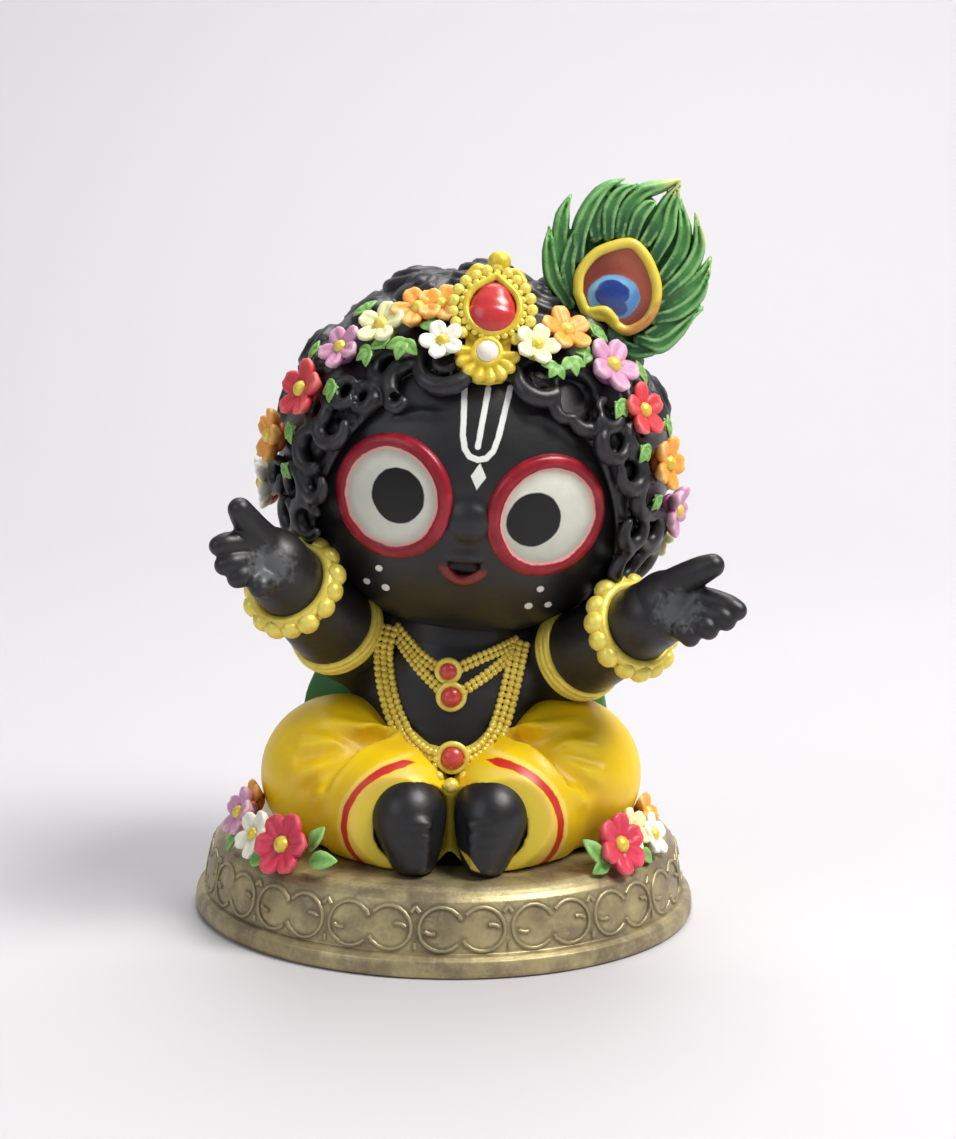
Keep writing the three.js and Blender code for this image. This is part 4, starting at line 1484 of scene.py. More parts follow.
@dataclass
class Eye:
    """A raised disc with a thick red rim, a pale ring and a black pupil."""

    side: int
    radius: float = 7.1
    white: float = 5.55
    pupil: float = 3.15
    inward: float = -1.0
    rise: float = 0.45
    shift: float = 0.0
    apart: float = 8.643
    middle: tuple[float, float] = (-0.215, -2.87)
    sag: float = 1 / 41
    rim: tuple[Row, ...] = (
        (1.0, 0.62), (0.96, 0.82), (0.9, 0.9), (0.85, 0.84), (0.81, 0.62), (0.78, 0.42), (0.75, 0.38),
    )

    def profile(self) -> list[Row]:
        """The disc's outline, from its buried foot to its middle.

        Returns:
            (radius, height) rows.
        """
        rows = [(0, -2.5), (self.radius, -2.5), (self.radius, 0.25 - self.radius**2 * self.sag)]
        rows += [(r * self.radius, h - (r * self.radius) ** 2 * self.sag) for r, h in self.rim]
        inner = [r * self.radius for r in (0.6, 0.45, 0.3, 0.15, 0.05)]
        return rows + [(r, 0.42 - r**2 * self.sag * 0.92) for r in inner] + [(0, 0.42)]

    def paint(self) -> Material:
        """Red rim, thin pink line, warm white and black pupil, each with an uneven edge.

        Returns:
            The material.
        """
        coat = Paint(
            f"eye_paint_{self.side}", (222, 224, 206), (160, 160, 140), (240, 240, 228), 0.34,
            coat=0.15,
        )
        painter = coat.start()
        painter.constant("Specular IOR Level", 0.3)
        spot = painter.node("ShaderNodeAttribute", {}, attribute_name="spot").outputs["Vector"]
        x, y, _ = painter.parts(spot)
        wobble = painter.speckle(2.6, 0.5, 2) + painter.speckle(0.7, 0.16, 2)
        out = root(x, y) + wobble
        shade = painter.mixed((226, 227, 214), (188, 190, 172), painter.noise(3.0) * 0.75)
        # The white greys towards the rim.
        white = painter.mixed(shade, (158, 152, 134), out.step(self.white - 1.5, self.white) * 0.45)
        pink = painter.mixed(white, (228, 168, 156), out.step(self.white - 0.28, self.white - 0.12))
        red = painter.mixed((138, 20, 36), (184, 48, 56), painter.noise(2.2).step(0.42, 0.75) * 0.6)
        rimmed = painter.mixed(pink, red, out.step(self.white + 0.05, self.white + 0.22))
        seen = root(x + self.inward, y - self.rise) + wobble * 0.7
        black = seen.step(self.pupil + 0.1, self.pupil - 0.1)
        return coat.dress(painter, painter.mixed(rimmed, (7, 7, 8), black))

    def make(self) -> None:
        """Builds and dresses the disc."""
        across, up = self.middle
        place, facing = HEAD.face(self.side * self.apart + across + self.shift, up)
        axes = axes_at(facing, HEAD.axes[:, 2])
        disc = lathe(self.profile(), 120)
        spots = disc.corners.copy()
        disc.corners = disc.corners @ axes.T + place
        name = "eye_right" if self.side > 0 else "eye_left"
        piece = mesh_piece(name, disc, self.paint(), 1)
        mark(piece.data, "spot", spots)
        settle(piece)


GARLAND_COURSE = ((0, 43), (30, 42), (45, 34), (55, 17), (64, 1), (82, -10), (105, -17), (130, -22))


def garland_height(turn: float) -> float:
    """The garland's height angle at a turn, both in degrees."""
    turns, heights = zip(*GARLAND_COURSE)
    return float(np.interp(abs(turn), turns, heights))


@dataclass(frozen=True)
class Curl:
    """A rolled curl: its middle in degrees on the head, its reach in millimetres, its sweep in degrees."""

    turn: float
    height: float
    reach: float
    start: float = 0.0
    sweep: float = 360.0
    thick: float = 0.85
    rise: float = 2.2


@dataclass
class Hair:
    """A cap of black hair in curls that leaves the face free."""

    depth: float = 1.35
    cell: float = 0.38
    hem: float = -16.4
    opening: tuple[float, float, float] = (-8.0, 17.0, 19.6)
    seed: int = 7
    brow_rise: float = 1.15
    dome: tuple[float, float, float] = (3.7, 3.3, 2.0)
    crown: tuple[tuple[float, float], ...] = ((-65, 47), (-56, 62.5), (-32, 75), (38, 68), (60, 56))
    brow: tuple[Curl, ...] = (
        Curl(-38.5, 20.2, 1.35, thick=0.8),
        Curl(-34.4, 31.0, 1.9, 110, 300, 0.85),
        Curl(-24.6, 27.6, 2.4, 60, 210, 1.0),
        Curl(-15.0, 35.6, 3.0, 170, 200, 1.1),
        Curl(-15.0, 36.6, 1.3, 170, 200, 0.6),
        Curl(-27.2, 21.6, 1.0, 180, 180, 0.7),
        Curl(18.4, 34.6, 2.5, 170, 210, 1.1),
        Curl(18.6, 35.6, 1.0, 170, 200, 0.55),
        Curl(26.4, 25.6, 1.2, 40, 300, 0.75),
        Curl(33.6, 24.0, 1.7, 150, 330, 0.9),
        Curl(31.0, 30.5, 3.0, 20, 150, 0.9, 1.9),
    )
    temples: tuple[Curl, ...] = (
        Curl(41.4, 15.6, 1.8, 60, 290, 0.9),
        Curl(40.5, 24.0, 1.6, 100, 300, 0.85),
        Curl(48.6, 7.4, 1.9, 100, -290, 0.95),
        Curl(51.5, 17.5, 1.6, 10, 300, 0.85),
        Curl(57.2, 0.4, 2.0, 60, 290, 0.95),
        Curl(54.0, -9.6, 1.7, 140, 280, 0.9),
        Curl(64.0, -9.5, 1.9, 200, 290, 0.95),
        Curl(57.5, -20.5, 1.9, 30, -280, 0.9),
        Curl(68.5, -20.5, 2.1, 250, 290, 1.0),
        Curl(61.0, -31.5, 1.8, 100, 290, 0.9),
        Curl(73.5, -32.0, 1.9, 10, 300, 0.9),
        Curl(72.0, -9.5, 1.5, 60, 300, 0.8),
        Curl(-45.0, 9.6, 1.9, 20, -250, 0.95),
        Curl(-51.4, 2.2, 2.1, 300, -230, 0.95),
        Curl(-48.5, -7.6, 1.5, 100, 290, 0.85),
        Curl(-58.0, -9.5, 1.9, 200, -290, 0.95),
        Curl(-53.0, -18.5, 1.9, 30, 290, 0.9),
        Curl(-64.5, -19.5, 2.1, 130, 290, 1.0),
        Curl(-58.0, -30.0, 1.9, 100, -290, 0.9),
        Curl(-70.5, -31.0, 2.0, 10, 300, 0.95),
        Curl(-71.0, -8.5, 1.6, 60, 300, 0.85),
        Curl(-44.0, 20.0, 1.5, 60, 300, 0.8),
        Curl(-52.0, 13.0, 1.5, 150, 300, 0.85),
    )
    row_heights: Row = (85, 66, 47, 28, 9, -9, -27, -46)
    row_places: float = 16.0
    apart: float = 15.0
    over_garland: float = 18.0
    under_garland: float = -11.0
    ear: float = 78.0
    nape: float = 136.0
    arcs: tuple[Row, ...] = ((3.1, 230, 0.75), (1.9, 250, 0.72), (0.7, 200, 0.6))

    def lock_spots(self) -> list[tuple[float, float, float]]:
        """Finds a place for every lock over the crown and the back.

        Returns:
            Turn, height and width of each.
        """
        spots = [(turn, height, 1.0) for turn, height in self.crown]
        for row, height in enumerate(self.row_heights):
            flat = math.cos(math.radians(height))
            count = max(1, round(self.row_places * flat))
            for i in range(count):
                turn = (i + row % 2 / 2) * 360 / count - 180
                above = height - garland_height(turn)
                alone = all(math.hypot((turn - t) * flat, height - h) > self.apart for t, h in self.crown)
                under = abs(turn) > self.ear and above < self.under_garland
                if alone and (above > self.over_garland or under or abs(turn) > self.nape):
                    spots.append((turn, height, 1.35 if abs(turn) > 90 else 1.15))
        return spots

    def roll(self, clay: Clay, curl: Curl, rise: float) -> None:
        """Adds one rolled curl with a hollow middle.

        Args:
            clay: The hair's clay.
            curl: The curl.
            rise: Its height over the head.
        """
        place, facing = HEAD.crown(curl.turn, curl.height, rise)
        axes = axes_at(facing, HEAD.axes[:, 2])
        hollow = max(0.25, curl.reach - curl.thick * 0.4)
        clay.carve(Egg(place, xyz(hollow, hollow, 1.9), axes), 0.25)
        path = []
        for share in np.arange(10) / 9:
            angle = math.radians(curl.start + curl.sweep * share)
            out = math.cos(angle) * axes[:, 0] + math.sin(angle) * axes[:, 1]
            path.append(HEAD.onto(place + curl.reach * out, rise + 0.25 * share))
        ends = 1.0 if abs(curl.sweep) == 360 else 0.6
        clay.add(strand(path, [curl.thick * ends, curl.thick, curl.thick, curl.thick * ends], 3), 0.25)

    def lock(self, clay: Clay, spot: tuple[float, float, float], dice: np.random.Generator) -> None:
        """Adds three nested arcs over a low dome that make one curled lock.

        Args:
            clay: The hair's clay.
            spot: The lock's turn, height and width.
            dice: Source of its turn.
        """
        turn, height, grown = spot
        place, facing = HEAD.crown(turn, height, self.depth)
        axes = axes_at(facing, UP + 0.01 * FRONT)
        start = dice.uniform(0, 360)
        hand = dice.choice((-1, 1))
        wide, tall, high = self.dome[0] * grown, self.dome[1] * grown, self.dome[2]
        high *= 0.6 + 0.4 * math.sin(math.radians(height))
        clay.add(Egg(HEAD.onto(place, 0.5), xyz(wide, tall, high), axes), 0.3)
        for reach, sweep_angle, radius in self.arcs:
            angles = np.radians(start + hand * np.linspace(0, sweep_angle, 8))
            spots = []
            for i, a in enumerate(angles):
                out = reach * grown * (1.08 - 0.03 * i)
                lift = 0.5 + high * math.sqrt(max(0.0, 1 - (out / wide) ** 2))
                flat = out * (math.cos(a) * axes[:, 0] + tall / wide * math.sin(a) * axes[:, 1])
                spots.append(HEAD.onto(place + flat, lift))
            clay.add(strand(spots, [0.5 * radius, grown * radius, grown * radius, 0.7 * radius], 2), 0.12)

    def build(self) -> Shell:
        """Models the hair.

        Returns:
            Its shell.
        """
        clay = Clay(HEAD.centre - xyz(27, 26, 27), HEAD.centre + xyz(27, 26, 27), self.cell)
        clay.add(HEAD.egg(self.depth))
        clay.carve(Block(HEAD, *self.opening), 0.8)
        dice = np.random.default_rng(self.seed)
        for spot in self.lock_spots():
            self.lock(clay, spot, dice)
        for curl in self.temples:
            self.roll(clay, curl, curl.rise)
        for curl in self.brow:
            self.roll(clay, curl, min(curl.rise, self.brow_rise))
        clay.cut(HEAD.centre + HEAD.axes @ xyz(0, 0, self.hem), HEAD.axes @ xyz(0, 0, -1))
        return clay.skin()

    def make(self, kit: Kit) -> None:
        """Builds and dresses the hair."""
        settle(mesh_piece("hair", self.build(), kit.hair, 2))


@dataclass
class Garland:
    """Blossoms and leaves around the head, closed by a cord at the nape."""

    lift: float = 3.0
    grown: float = 1.12
    cord: float = 0.9
    front: tuple[tuple[Bloom, float, float, float], ...] = (
        (Bloom.CORAL, -59, 17.1, 3.2), (Bloom.LILAC, -51.5, 31.3, 2.6), (Bloom.CREAM, -41.5, 40.9, 2.7),
        (Bloom.ORANGE, -31.5, 48.7, 2.8), (Bloom.ORANGE, -23.0, 51.5, 2.6), (Bloom.WHITE, -16.4, 39.3, 2.3),
        (Bloom.ORANGE, -72, 1.9, 2.9), (Bloom.WHITE, -84.4, -13, 2.8), (Bloom.CREAM, 16, 42, 2.4),
        (Bloom.ORANGE, 29.4, 47.9, 2.8), (Bloom.LILAC, 44.4, 37.2, 3.1), (Bloom.CORAL, 52.8, 24.3, 2.9),
        (Bloom.ORANGE, 62.7, 9.7, 2.9), (Bloom.LILAC, 74.2, -4.4, 2.9),
    )
    leaves: tuple[tuple[float, float, float, float], ...] = (
        (-39.7, 31.9, 200, 1.5), (-28.9, 37, 250, 1.9), (-46.5, 19.8, 190, 1.5), (-59.3, 5.7, 215, 1.6),
        (-55.4, 44.6, 110, 1.6), (-59.4, -4.9, 260, 1.4), (-64.5, 28.7, 150, 1.5), (28, 38.3, 300, 1.6),
        (42.9, 25.9, 330, 1.5), (51.1, 13.6, 320, 1.5), (58.7, -0.3, 300, 1.4), (44.5, 47.9, 60, 1.6),
        (58.9, 35.6, 40, 1.6), (66.5, 20, 20, 1.6), (-36.5, 35.0, 120, 1.4), (-22, 43, 90, 1.4),
        (22, 36, 250, 1.4), (36, 41, 200, 1.4),
    )
    hidden: tuple[tuple[Bloom, float], ...] = (
        (Bloom.CORAL, -98), (Bloom.CREAM, -113), (Bloom.ORANGE, -128),
        (Bloom.CREAM, 98), (Bloom.ORANGE, 113), (Bloom.LILAC, 128),
    )

    def make(self, kit: Kit) -> None:
        """Places the blossoms, the leaves and the cord.

        Args:
            kit: The shared recipes and paints.
        """
        rows = []
        hidden = [(bloom, turn, garland_height(turn), 2.5) for bloom, turn in self.hidden]
        for number, (bloom, turn, height, size) in enumerate([*self.front, *hidden]):
            place, facing = HEAD.crown(turn, height, self.lift)
            along = rotated(HEAD.axes[:, 0], facing, 37.0 * number)
            rows.append((bloom, Spot(place, facing, size * self.grown, along)))
        kit.flowers("garland", rows, "figure")
        spots = []
        turns = [side * turn for side in (-1, 1) for turn in (95, 111, 126)]
        hidden = [(turn, garland_height(turn) + 4, 180 if turn > 0 else 0, 1.6) for turn in turns]
        for turn, height, spin, size in [*self.leaves, *hidden]:
            place, facing = HEAD.crown(turn, height, self.lift + 0.1)
            for fan in (-62, 0, 62):
                along = rotated(HEAD.axes[:, 0], facing, spin + fan)
                spots.append(Spot(place + along * size * 0.45, facing, size * 0.8, along))
        kit.foliage("garland_leaves", spots, "figure")
        rows = [(t, garland_height(min(t, 360 - t))) for t in range(92, 269, 6)]
        path = smooth_path(HEAD.course(rows, 2.1), 3)
        settle(mesh_piece("garland_cord", sweep(path, self.cord), kit.green, 1))


@dataclass
class CrownJewel:
    """A gold drop with a red stone over a pearl and a scalloped fan, leaning back on the brow."""

    centre: Point = field(default_factory=lambda: xyz(-0.3, -14.7, 20.0))
    lean: float = 24.0
    half: float = 4.25
    tip: float = 4.9
    drop: float = -1.0
    pearl: Point = field(default_factory=lambda: xyz(0, -6.2, 0))
    cell: float = 0.16
    opening: tuple[float, float] = (3.0, 3.75)
    neck: tuple[Row, ...] = ((-2.2, 3.0), (2.2, 3.0), (2.6, -6.5), (-2.6, -6.5))
    wing: tuple[Row, ...] = ((0.9, 4.4, -0.4), (2.2, 4.5, -0.3), (3.0, 3.6, -0.2))
    knob: Row = (0.1, 5.75, -0.5)
    knob_radii: Row = (1.3, 1.25, 1.15)
    bezel: float = 1.45
    scallops: int = 8
    scallop_step: float = 25.0
    bead_rows: tuple[Row, ...] = ((0.1, 1.35, 0.72, -0.1), (-0.8, 0.86, 0.42, 0.25))
    bead_foot: float = -4.9

    def frame(self) -> tuple[Point, np.ndarray]:
        """Where the jewel sits.

        Returns:
            The middle of the drop and the plate's axes.
        """
        angle = math.radians(self.lean)
        facing = HEAD.axes @ xyz(0, -math.cos(angle), math.sin(angle))
        return HEAD.centre + HEAD.axes @ self.centre, axes_at(facing, HEAD.axes[:, 2])

    def build(self) -> Shell:
        """Models the plate, the rims and the fan in the plate's own axes.

        Returns:
            Their shell.
        """
        clay = Clay((-5.6, -11.2, -4.2), (5.6, 8.2, 2.6), self.cell)
        down = xyz(0, self.drop, 0)
        plate = drop_outline(self.half - 0.3, self.tip - 0.6) + down[:2]
        clay.add(Plate(plate, -3.6, -0.2), 0.2)
        clay.add(Plate(np.array(self.neck), -3.6, -0.5), 0.6)
        rim = closed(drop_outline(*self.opening)) + down[:2]
        clay.add(Strand(flat_path(rim, 0.35), np.full(len(rim), 0.42)), 0.25)
        pearl, under = self.pearl, self.pearl + xyz(0, 0, -2.4)
        turns = (np.arange(self.scallops) - (self.scallops - 1) / 2) * self.scallop_step
        for angle in np.radians(turns - 90):
            out = xyz(math.cos(angle), math.sin(angle), 0)
            clay.add(strand([pearl + out * 1.2, pearl + out * 2.5, pearl + out * 3.0], [0.5, 0.62, 0.7]), 0.3)
            clay.add(strand([under + out * 1.2, under + out * 2.6], [1.0]), 0.5)
        angles = np.linspace(0, FULL_TURN, 21)
        bezel = self.bezel * np.stack([np.cos(angles), np.sin(angles)], axis=1) + pearl[:2]
        clay.add(Strand(flat_path(bezel, 0.35), np.full(21, 0.36)), 0.2)
        clay.add(Egg(down + np.array(self.knob), np.array(self.knob_radii)), 0.3)
        for side in (-1, 1):
            wing = np.array([(side * x, y, z) for x, y, z in self.wing])
            clay.add(strand(down + wing, [0.5, 0.62, 0.5]), 0.3)
        return clay.skin()

    def stone(self) -> Shell:
        """Models the red stone in the plate's own axes.

        Returns:
            Its shell.
        """
        clay = Clay((-3.2, -4.6, -1.4), (3.2, 3.2, 2.4), self.cell)
        form = [(0, self.drop + rise, -0.1) for rise in (-0.5, 1.1, 2.9)]
        clay.add(strand(form, [2.75, 2.0, 0.3], flat=xyz(0, 0, 1), thin=0.66), 0.2)
        return clay.skin()

    def border(self) -> list[Spot]:
        """Lays beads in two rows around the drop.

        Returns:
            Their spots.
        """
        place, axes = self.frame()
        spots = []
        for grown, gap, size, height in self.bead_rows:
            outline = closed(drop_outline(self.half + grown, self.tip + grown))
            for spot in spaced(flat_path(outline + (0, self.drop), height), gap)[:-1]:
                if spot[1] > self.bead_foot:
                    spots.append(Spot(place + axes @ spot, axes[:, 2], size, axes[:, 0]))
        return spots

    def make(self, kit: Kit) -> None:
        """Builds and dresses the jewel.

        Args:
            kit: The shared recipes and paints.
        """
        place, axes = self.frame()
        parts = (("crown_jewel", self.build(), kit.gold), ("crown_stone", self.stone(), kit.gem))
        for name, shell, paint in parts:
            shell.corners = shell.corners @ axes.T + place
            settle(mesh_piece(name, shell, paint, 2))
        kit.bead_rows("crown_beads", self.border(), 0.75)
        spot = Spot(place + axes @ (self.pearl + 0.35 * UP), axes[:, 2], 1.3, axes[:, 0])
        kit.beads.scatter("crown_pearl", [spot], Paint=kit.pearl, Height=0.85)


@dataclass
class Feather:
    """A thick feather of swept blades around a raised drop-shaped eye."""

    plane: float = -7.6
    cell: float = 0.2
    vein: Row = (1, 1.1, 0.9, 0.3, 0.0)
    blades: tuple[tuple[Row, ...], ...] = (
        ((13.3, 72.9), (11.5, 75.8), (10.9, 78.9), (10.8, 81.7)),
        ((13.6, 75.2), (12.2, 79.0), (12.3, 82.8), (13.2, 85.4)),
        ((14.1, 78.1), (14.4, 81.2), (15.6, 84.2), (17.3, 86.2), (19.3, 87.2)),
        ((16.1, 80.6), (15.9, 83.1), (16.8, 84.7), (17.9, 85.5)),
        ((17.5, 80.8), (17.6, 83.5), (18.7, 85.6), (20.7, 86.6)),
        ((18.8, 80.9), (19.4, 83.6), (21.2, 85.6), (23.8, 86.5), (25.6, 87.2)),
        ((20.2, 80.7), (20.9, 82.9), (21.9, 84.2), (22.8, 84.7)),
        ((21.7, 80.0), (23.1, 82.4), (24.3, 84.7), (25.6, 86.9)),
        ((22.7, 78.2), (24.2, 81.2), (24.6, 83.7), (25.3, 86.3)),
        ((23.7, 76.0), (25.7, 79.0), (26.1, 81.9), (25.4, 85.5)),
        ((24.0, 74.4), (26.6, 77.0), (27.8, 79.9), (27.3, 83.5)),
        ((23.8, 72.8), (26.7, 74.9), (28.4, 76.5), (29.2, 78.6)),
        ((23.1, 71.5), (25.6, 72.2), (28.0, 74.3), (29.1, 77.2)),
        ((22.3, 69.4), (24.7, 70.8), (27.0, 72.0), (28.6, 72.9)),
        ((21.4, 69.0), (23.7, 68.5), (25.9, 70.2), (27.9, 72.4)),
        ((18.7, 68.9), (20.5, 67.8), (22.6, 67.9), (24.3, 68.3)),
        ((13.7, 74.3), (13.0, 77.0), (13.5, 79.7), (14.0, 81.9)),
    )
    rim: tuple[Row, ...] = (
        (14.2, 74.3), (14.4, 76.5), (15.9, 78.6), (17.9, 79.6), (20.0, 80.0), (21.3, 79.1), (22.3, 77.6),
        (23.1, 75.3), (23.0, 73.1), (22.0, 71.2), (20.0, 70.1), (18.6, 70.7), (17.5, 71.6), (15.4, 71.9),
    )
    core: tuple[Row, ...] = (
        (14, 73), (13.6, 78), (15.5, 81.5), (19, 83), (23, 83.4), (25.4, 80.5), (26.4, 76.5),
        (25.6, 72.5), (23.5, 69.6), (19, 68.8), (15.6, 70.2),
    )

    def build(self) -> Shell:
        """Models the blades and their backing, in the plane's own axes.

        Returns:
            Their shell.
        """
        clay = Clay((9.3, 64.5, -2.6), (30.6, 88.4, 2.6), self.cell)
        clay.add(Plate(np.array(self.core), -1.15, -0.45), 0.3)
        flat = xyz(0, 0, 1)
        for number, rows in enumerate(self.blades):
            depth = 0.15 - 0.3 * (number % 2)
            for lift, wide in ((-0.6, 1.1), (depth, 0.85)):
                path = [(x, z, lift) for x, z in rows]
                radii = [0.9 * wide, 1.05 * wide, 0.8 * wide, 0.12]
                clay.add(strand(path, radii, flat=flat, thin=0.75), 0.12)
            ahead = unit(np.array(rows[-1], dtype=float) - rows[0])
            for side in (-0.5, 0.5):
                shift = side * np.array((-ahead[1], ahead[0]))
                vein = [np.append(row + shift * k, depth + 0.5) for row, k in zip(rows, self.vein)]
                clay.add(strand(vein, [0.2, 0.3, 0.26, 0.08]), 0.08)
        clay.add(strand([(17.0, 66.0, -0.4), (18.2, 69.5, -0.3)], [1.4, 1.4]), 0.5)
        return clay.skin()

    def eye_rim(self) -> Shell:
        """Models the raised rim of the feather's eye.

        Returns:
            Its shell.
        """
        clay = Clay((12.6, 68.6, -0.6), (24.8, 81.6, 2.9), self.cell)
        rows = smooth_path(closed(np.array(self.rim)), 4)
        clay.add(Strand(flat_path(rows, 1.0), np.full(len(rows), 0.6)), 0.2)
        clay.add(strand([(15.6, 72.3, 1.2), (17.3, 72.4, 1.4), (18.4, 71.4, 1.3)], [0.4, 0.55, 0.5]), 0.3)
        return clay.skin()

    def eye_field(self) -> Shell:
        """Models the slightly domed field inside the rim.

        Returns:
            Its shell.
        """
        clay = Clay((12.6, 68.6, -0.6), (24.8, 81.6, 2.9), self.cell)
        clay.add(Plate(smooth_path(closed(np.array(self.rim)), 3)[:-1], 0.0, 1.0), 0.0)
        clay.add(Egg(xyz(18.3, 74.0, 0.85), xyz(3.0, 2.6, 0.62)), 0.5)
        clay.add(Egg(xyz(18.1, 74.2, 1.15), xyz(2.1, 1.8, 0.6)), 0.3)
        return clay.skin()

    def stood(self, shell: Shell) -> Shell:
        """The shell turned up from its own axes into the figure's."""
        x, y, z = shell.corners.T
        return Shell(np.stack([x, self.plane - z, y], axis=1), shell.faces)

    def blade_paint(self) -> Material:
        """Green with painted shade in the grooves, painted highlights on the ridges and pale yellow tips.

        Returns:
            The material.
        """
        coat = Paint(
            "feather_green", (66, 136, 72), (14, 52, 26), (150, 202, 130), 0.42,
            shade_share=0.8, highlight_share=0.85, grain=1.6,
        )
        painter = coat.start()
        x, _, z = painter.local(xyz(18.5, 0, 75.0))
        out = root(x * 1.12, z * 0.95) + painter.speckle(1.4, 2.5)
        tone = painter.mixed((34, 86, 48), (84, 154, 74), out.step(6.0, 11.0))
        # Painted shade in the grooves and painted highlights on the ridges.
        tone = coat.brushed(painter, tone)
        return coat.dress(painter, painter.mixed(tone, (214, 214, 130), out.step(11.2, 13.8) * 0.75))

    def rim_paint(self) -> Material:
        """Lemon yellow that turns orange-brown at the lower right.

        Returns:
            The material.
        """
        coat = Paint("feather_yellow", (228, 204, 60), (150, 112, 30), (244, 232, 130), 0.36, coat=0.3)
        painter = coat.start()
        x, _, z = painter.local(xyz(18.5, 0, 75.0))
        warm = (x * 0.6 - z * 0.8 + painter.speckle(1.6, 2)).step(3.4, 5.2)
        tone = painter.mixed(coat.brushed(painter, coat.colour), (190, 110, 58), warm * 0.85)
        green = (z * -1 - x * 1.2 + (painter.noise(1.2) - 0.5)).step(5.0, 6.2)
        return coat.dress(painter, painter.mixed(tone, (190, 200, 60), green * 0.5))

    def field_paint(self) -> Material:
        """Maroon field with a light blue ring and a dark blue disc.

        Returns:
            The material.
        """
        coat = Paint("feather_eye", (128, 52, 38), (70, 22, 20), (164, 84, 60), 0.3, coat=0.5)
        painter = coat.start()
        x, _, z = painter.local(xyz(18.25, 0, 73.9))
        wobble = painter.speckle(1.5, 0.5)
        ring = root(x, z * 1.18) + wobble
        tone = painter.mixed(coat.colour, (176, 92, 66), (x * 0.6 + z * 0.5 + wobble).step(0.5, 3.6))
        tone = painter.mixed(tone, (112, 168, 208), ring.step(3.1, 2.8))
        tone = painter.mixed(tone, (52, 124, 190), (x - z).step(0.8, 2.6) * ring.step(3.0, 2.8) * 0.8)
        disc = root(x + 0.2, (z - 0.35) * 1.2) + wobble
        disc = disc.least(segment(x, z, (0.0, 0.0), (0.75, -1.3)) + 1.1)
        tone = painter.mixed(tone, (28, 58, 138), disc.step(2.05, 1.8))
        return coat.dress(painter, tone)

    def make(self) -> None:
        """Builds and dresses the feather."""
        for name, shell, paint, rounds in (
            ("feather_blades", self.build(), self.blade_paint(), 1),
            ("feather_rim", self.eye_rim(), self.rim_paint(), 2),
            ("feather_eye", self.eye_field(), self.field_paint(), 2),
        ):
            settle(mesh_piece(name, self.stood(shell), paint, rounds))


@dataclass
class Body:
    """Trunk and arms in one piece; the open hands are pieces of their own."""

    axis: float = 0.81
    trunk: tuple[Row, ...] = (
        (10.4, 11.5), (12.2, 15.5), (12.3, 21.0), (11.4, 27.6), (9.8, 33.0), (7.8, 36.8)
    )
    shoulders: tuple[Row, Row] = ((-9.6, -0.5, 30.9), (11.2, -0.5, 29.5))
    directions: tuple[Row, Row] = ((-0.41, -0.73, 0.547), (0.54, -0.73, 0.42))
    lengths: tuple[float, float] = (22.6, 21.8)
    cell: float = 0.36

    def along(self, number: int, share: float, drop: float = 0.0) -> Point:
        """A point on an arm's line.

        Args:
            number: Which arm.
            share: 0 at the shoulder, 1 at the wrist.
            drop: How far the line sags.

        Returns:
            The point.
        """
        direction = unit(np.array(self.directions[number]))
        sag = drop * math.sin(math.pi * share)
        return np.array(self.shoulders[number]) + direction * self.lengths[number] * share - UP * sag

    def clay(self) -> Clay:
        """Models the trunk and the arms.

        Returns:
            Their clay.
        """
        clay = Clay((-27, -22.5, 10), (33, 14.5, 48.5), self.cell)
        spine = np.array([(self.axis, 0.0, z) for _, z in self.trunk])
        clay.add(Strand(spine, np.array([r for r, _ in self.trunk])))
        for number in range(2):
            path = [self.along(number, s, 0.7) for s in (0, 0.25, 0.5, 0.75, 1.0)]
            clay.add(strand(path, [5.0, 5.35, 5.0, 4.5, 4.1]), 2.2)
        return clay

    def make(self, kit: Kit) -> Clay:
        """Builds and dresses the trunk and arms.

        Args:
            kit: The shared recipes and paints.

        Returns:
            Their clay.
        """
        clay = self.clay()
        settle(mesh_piece("trunk_and_arms", clay.skin(), kit.black, 2))
        return clay


@dataclass
class Hand:
    """An open hand whose palm looks at the viewer."""

    name: str
    wrist: Row
    palm: Row
    fingers: tuple[tuple[Row, ...], ...]
    thumb: tuple[Row, ...]
    # Middle of the palm's grey: partly dust, partly a painted sheen.
    dust_and_sheen: Row
    cell: float = 0.22
    palm_radii: Row = (3.7, 4.0, 3.1)
    wrist_radii: Row = (3.9, 3.4)
    finger_radii: Row = (1.3, 1.35, 1.3, 1.15)
    thumb_radii: Row = (2.0, 1.8, 1.6, 1.35)

    def paint(self) -> Material:
        """Black, with grey in the palm: partly dust, partly a painted sheen of light.

        Returns:
            The material.
        """
        painter = BLACK.start()
        x, y, z = painter.local(np.array(self.dust_and_sheen))
        near = painter.noise(0.7, 4) - root(root(x, y), z * 1.2) * 0.2
        skin = BLACK.brushed(painter, BLACK.colour)
        # Grey in the palm: dust, and a painted sheen of light on the rough paint.
        return BLACK.dress(painter, painter.mixed(skin, (112, 114, 116), near.step(-0.2, 0.2) * 0.5))

    def make(self) -> None:
        """Builds and dresses the hand."""
        palm = np.array(self.palm)
        clay = Clay(palm - 11.5, palm + 11.5, self.cell)
        facing = unit(xyz(0.1 * np.sign(palm[0]), -1, 0.3))
        clay.add(Egg(palm, np.array(self.palm_radii), axes_at(facing)), 0.6)
        clay.add(strand([self.wrist, palm], self.wrist_radii), 1.4)
        for rows in self.fingers:
            clay.add(strand(rows, self.finger_radii, 3), 0.4)
        clay.add(strand(self.thumb, self.thumb_radii, 3), 0.7)
        settle(mesh_piece(self.name, clay.skin(), self.paint(), 2))


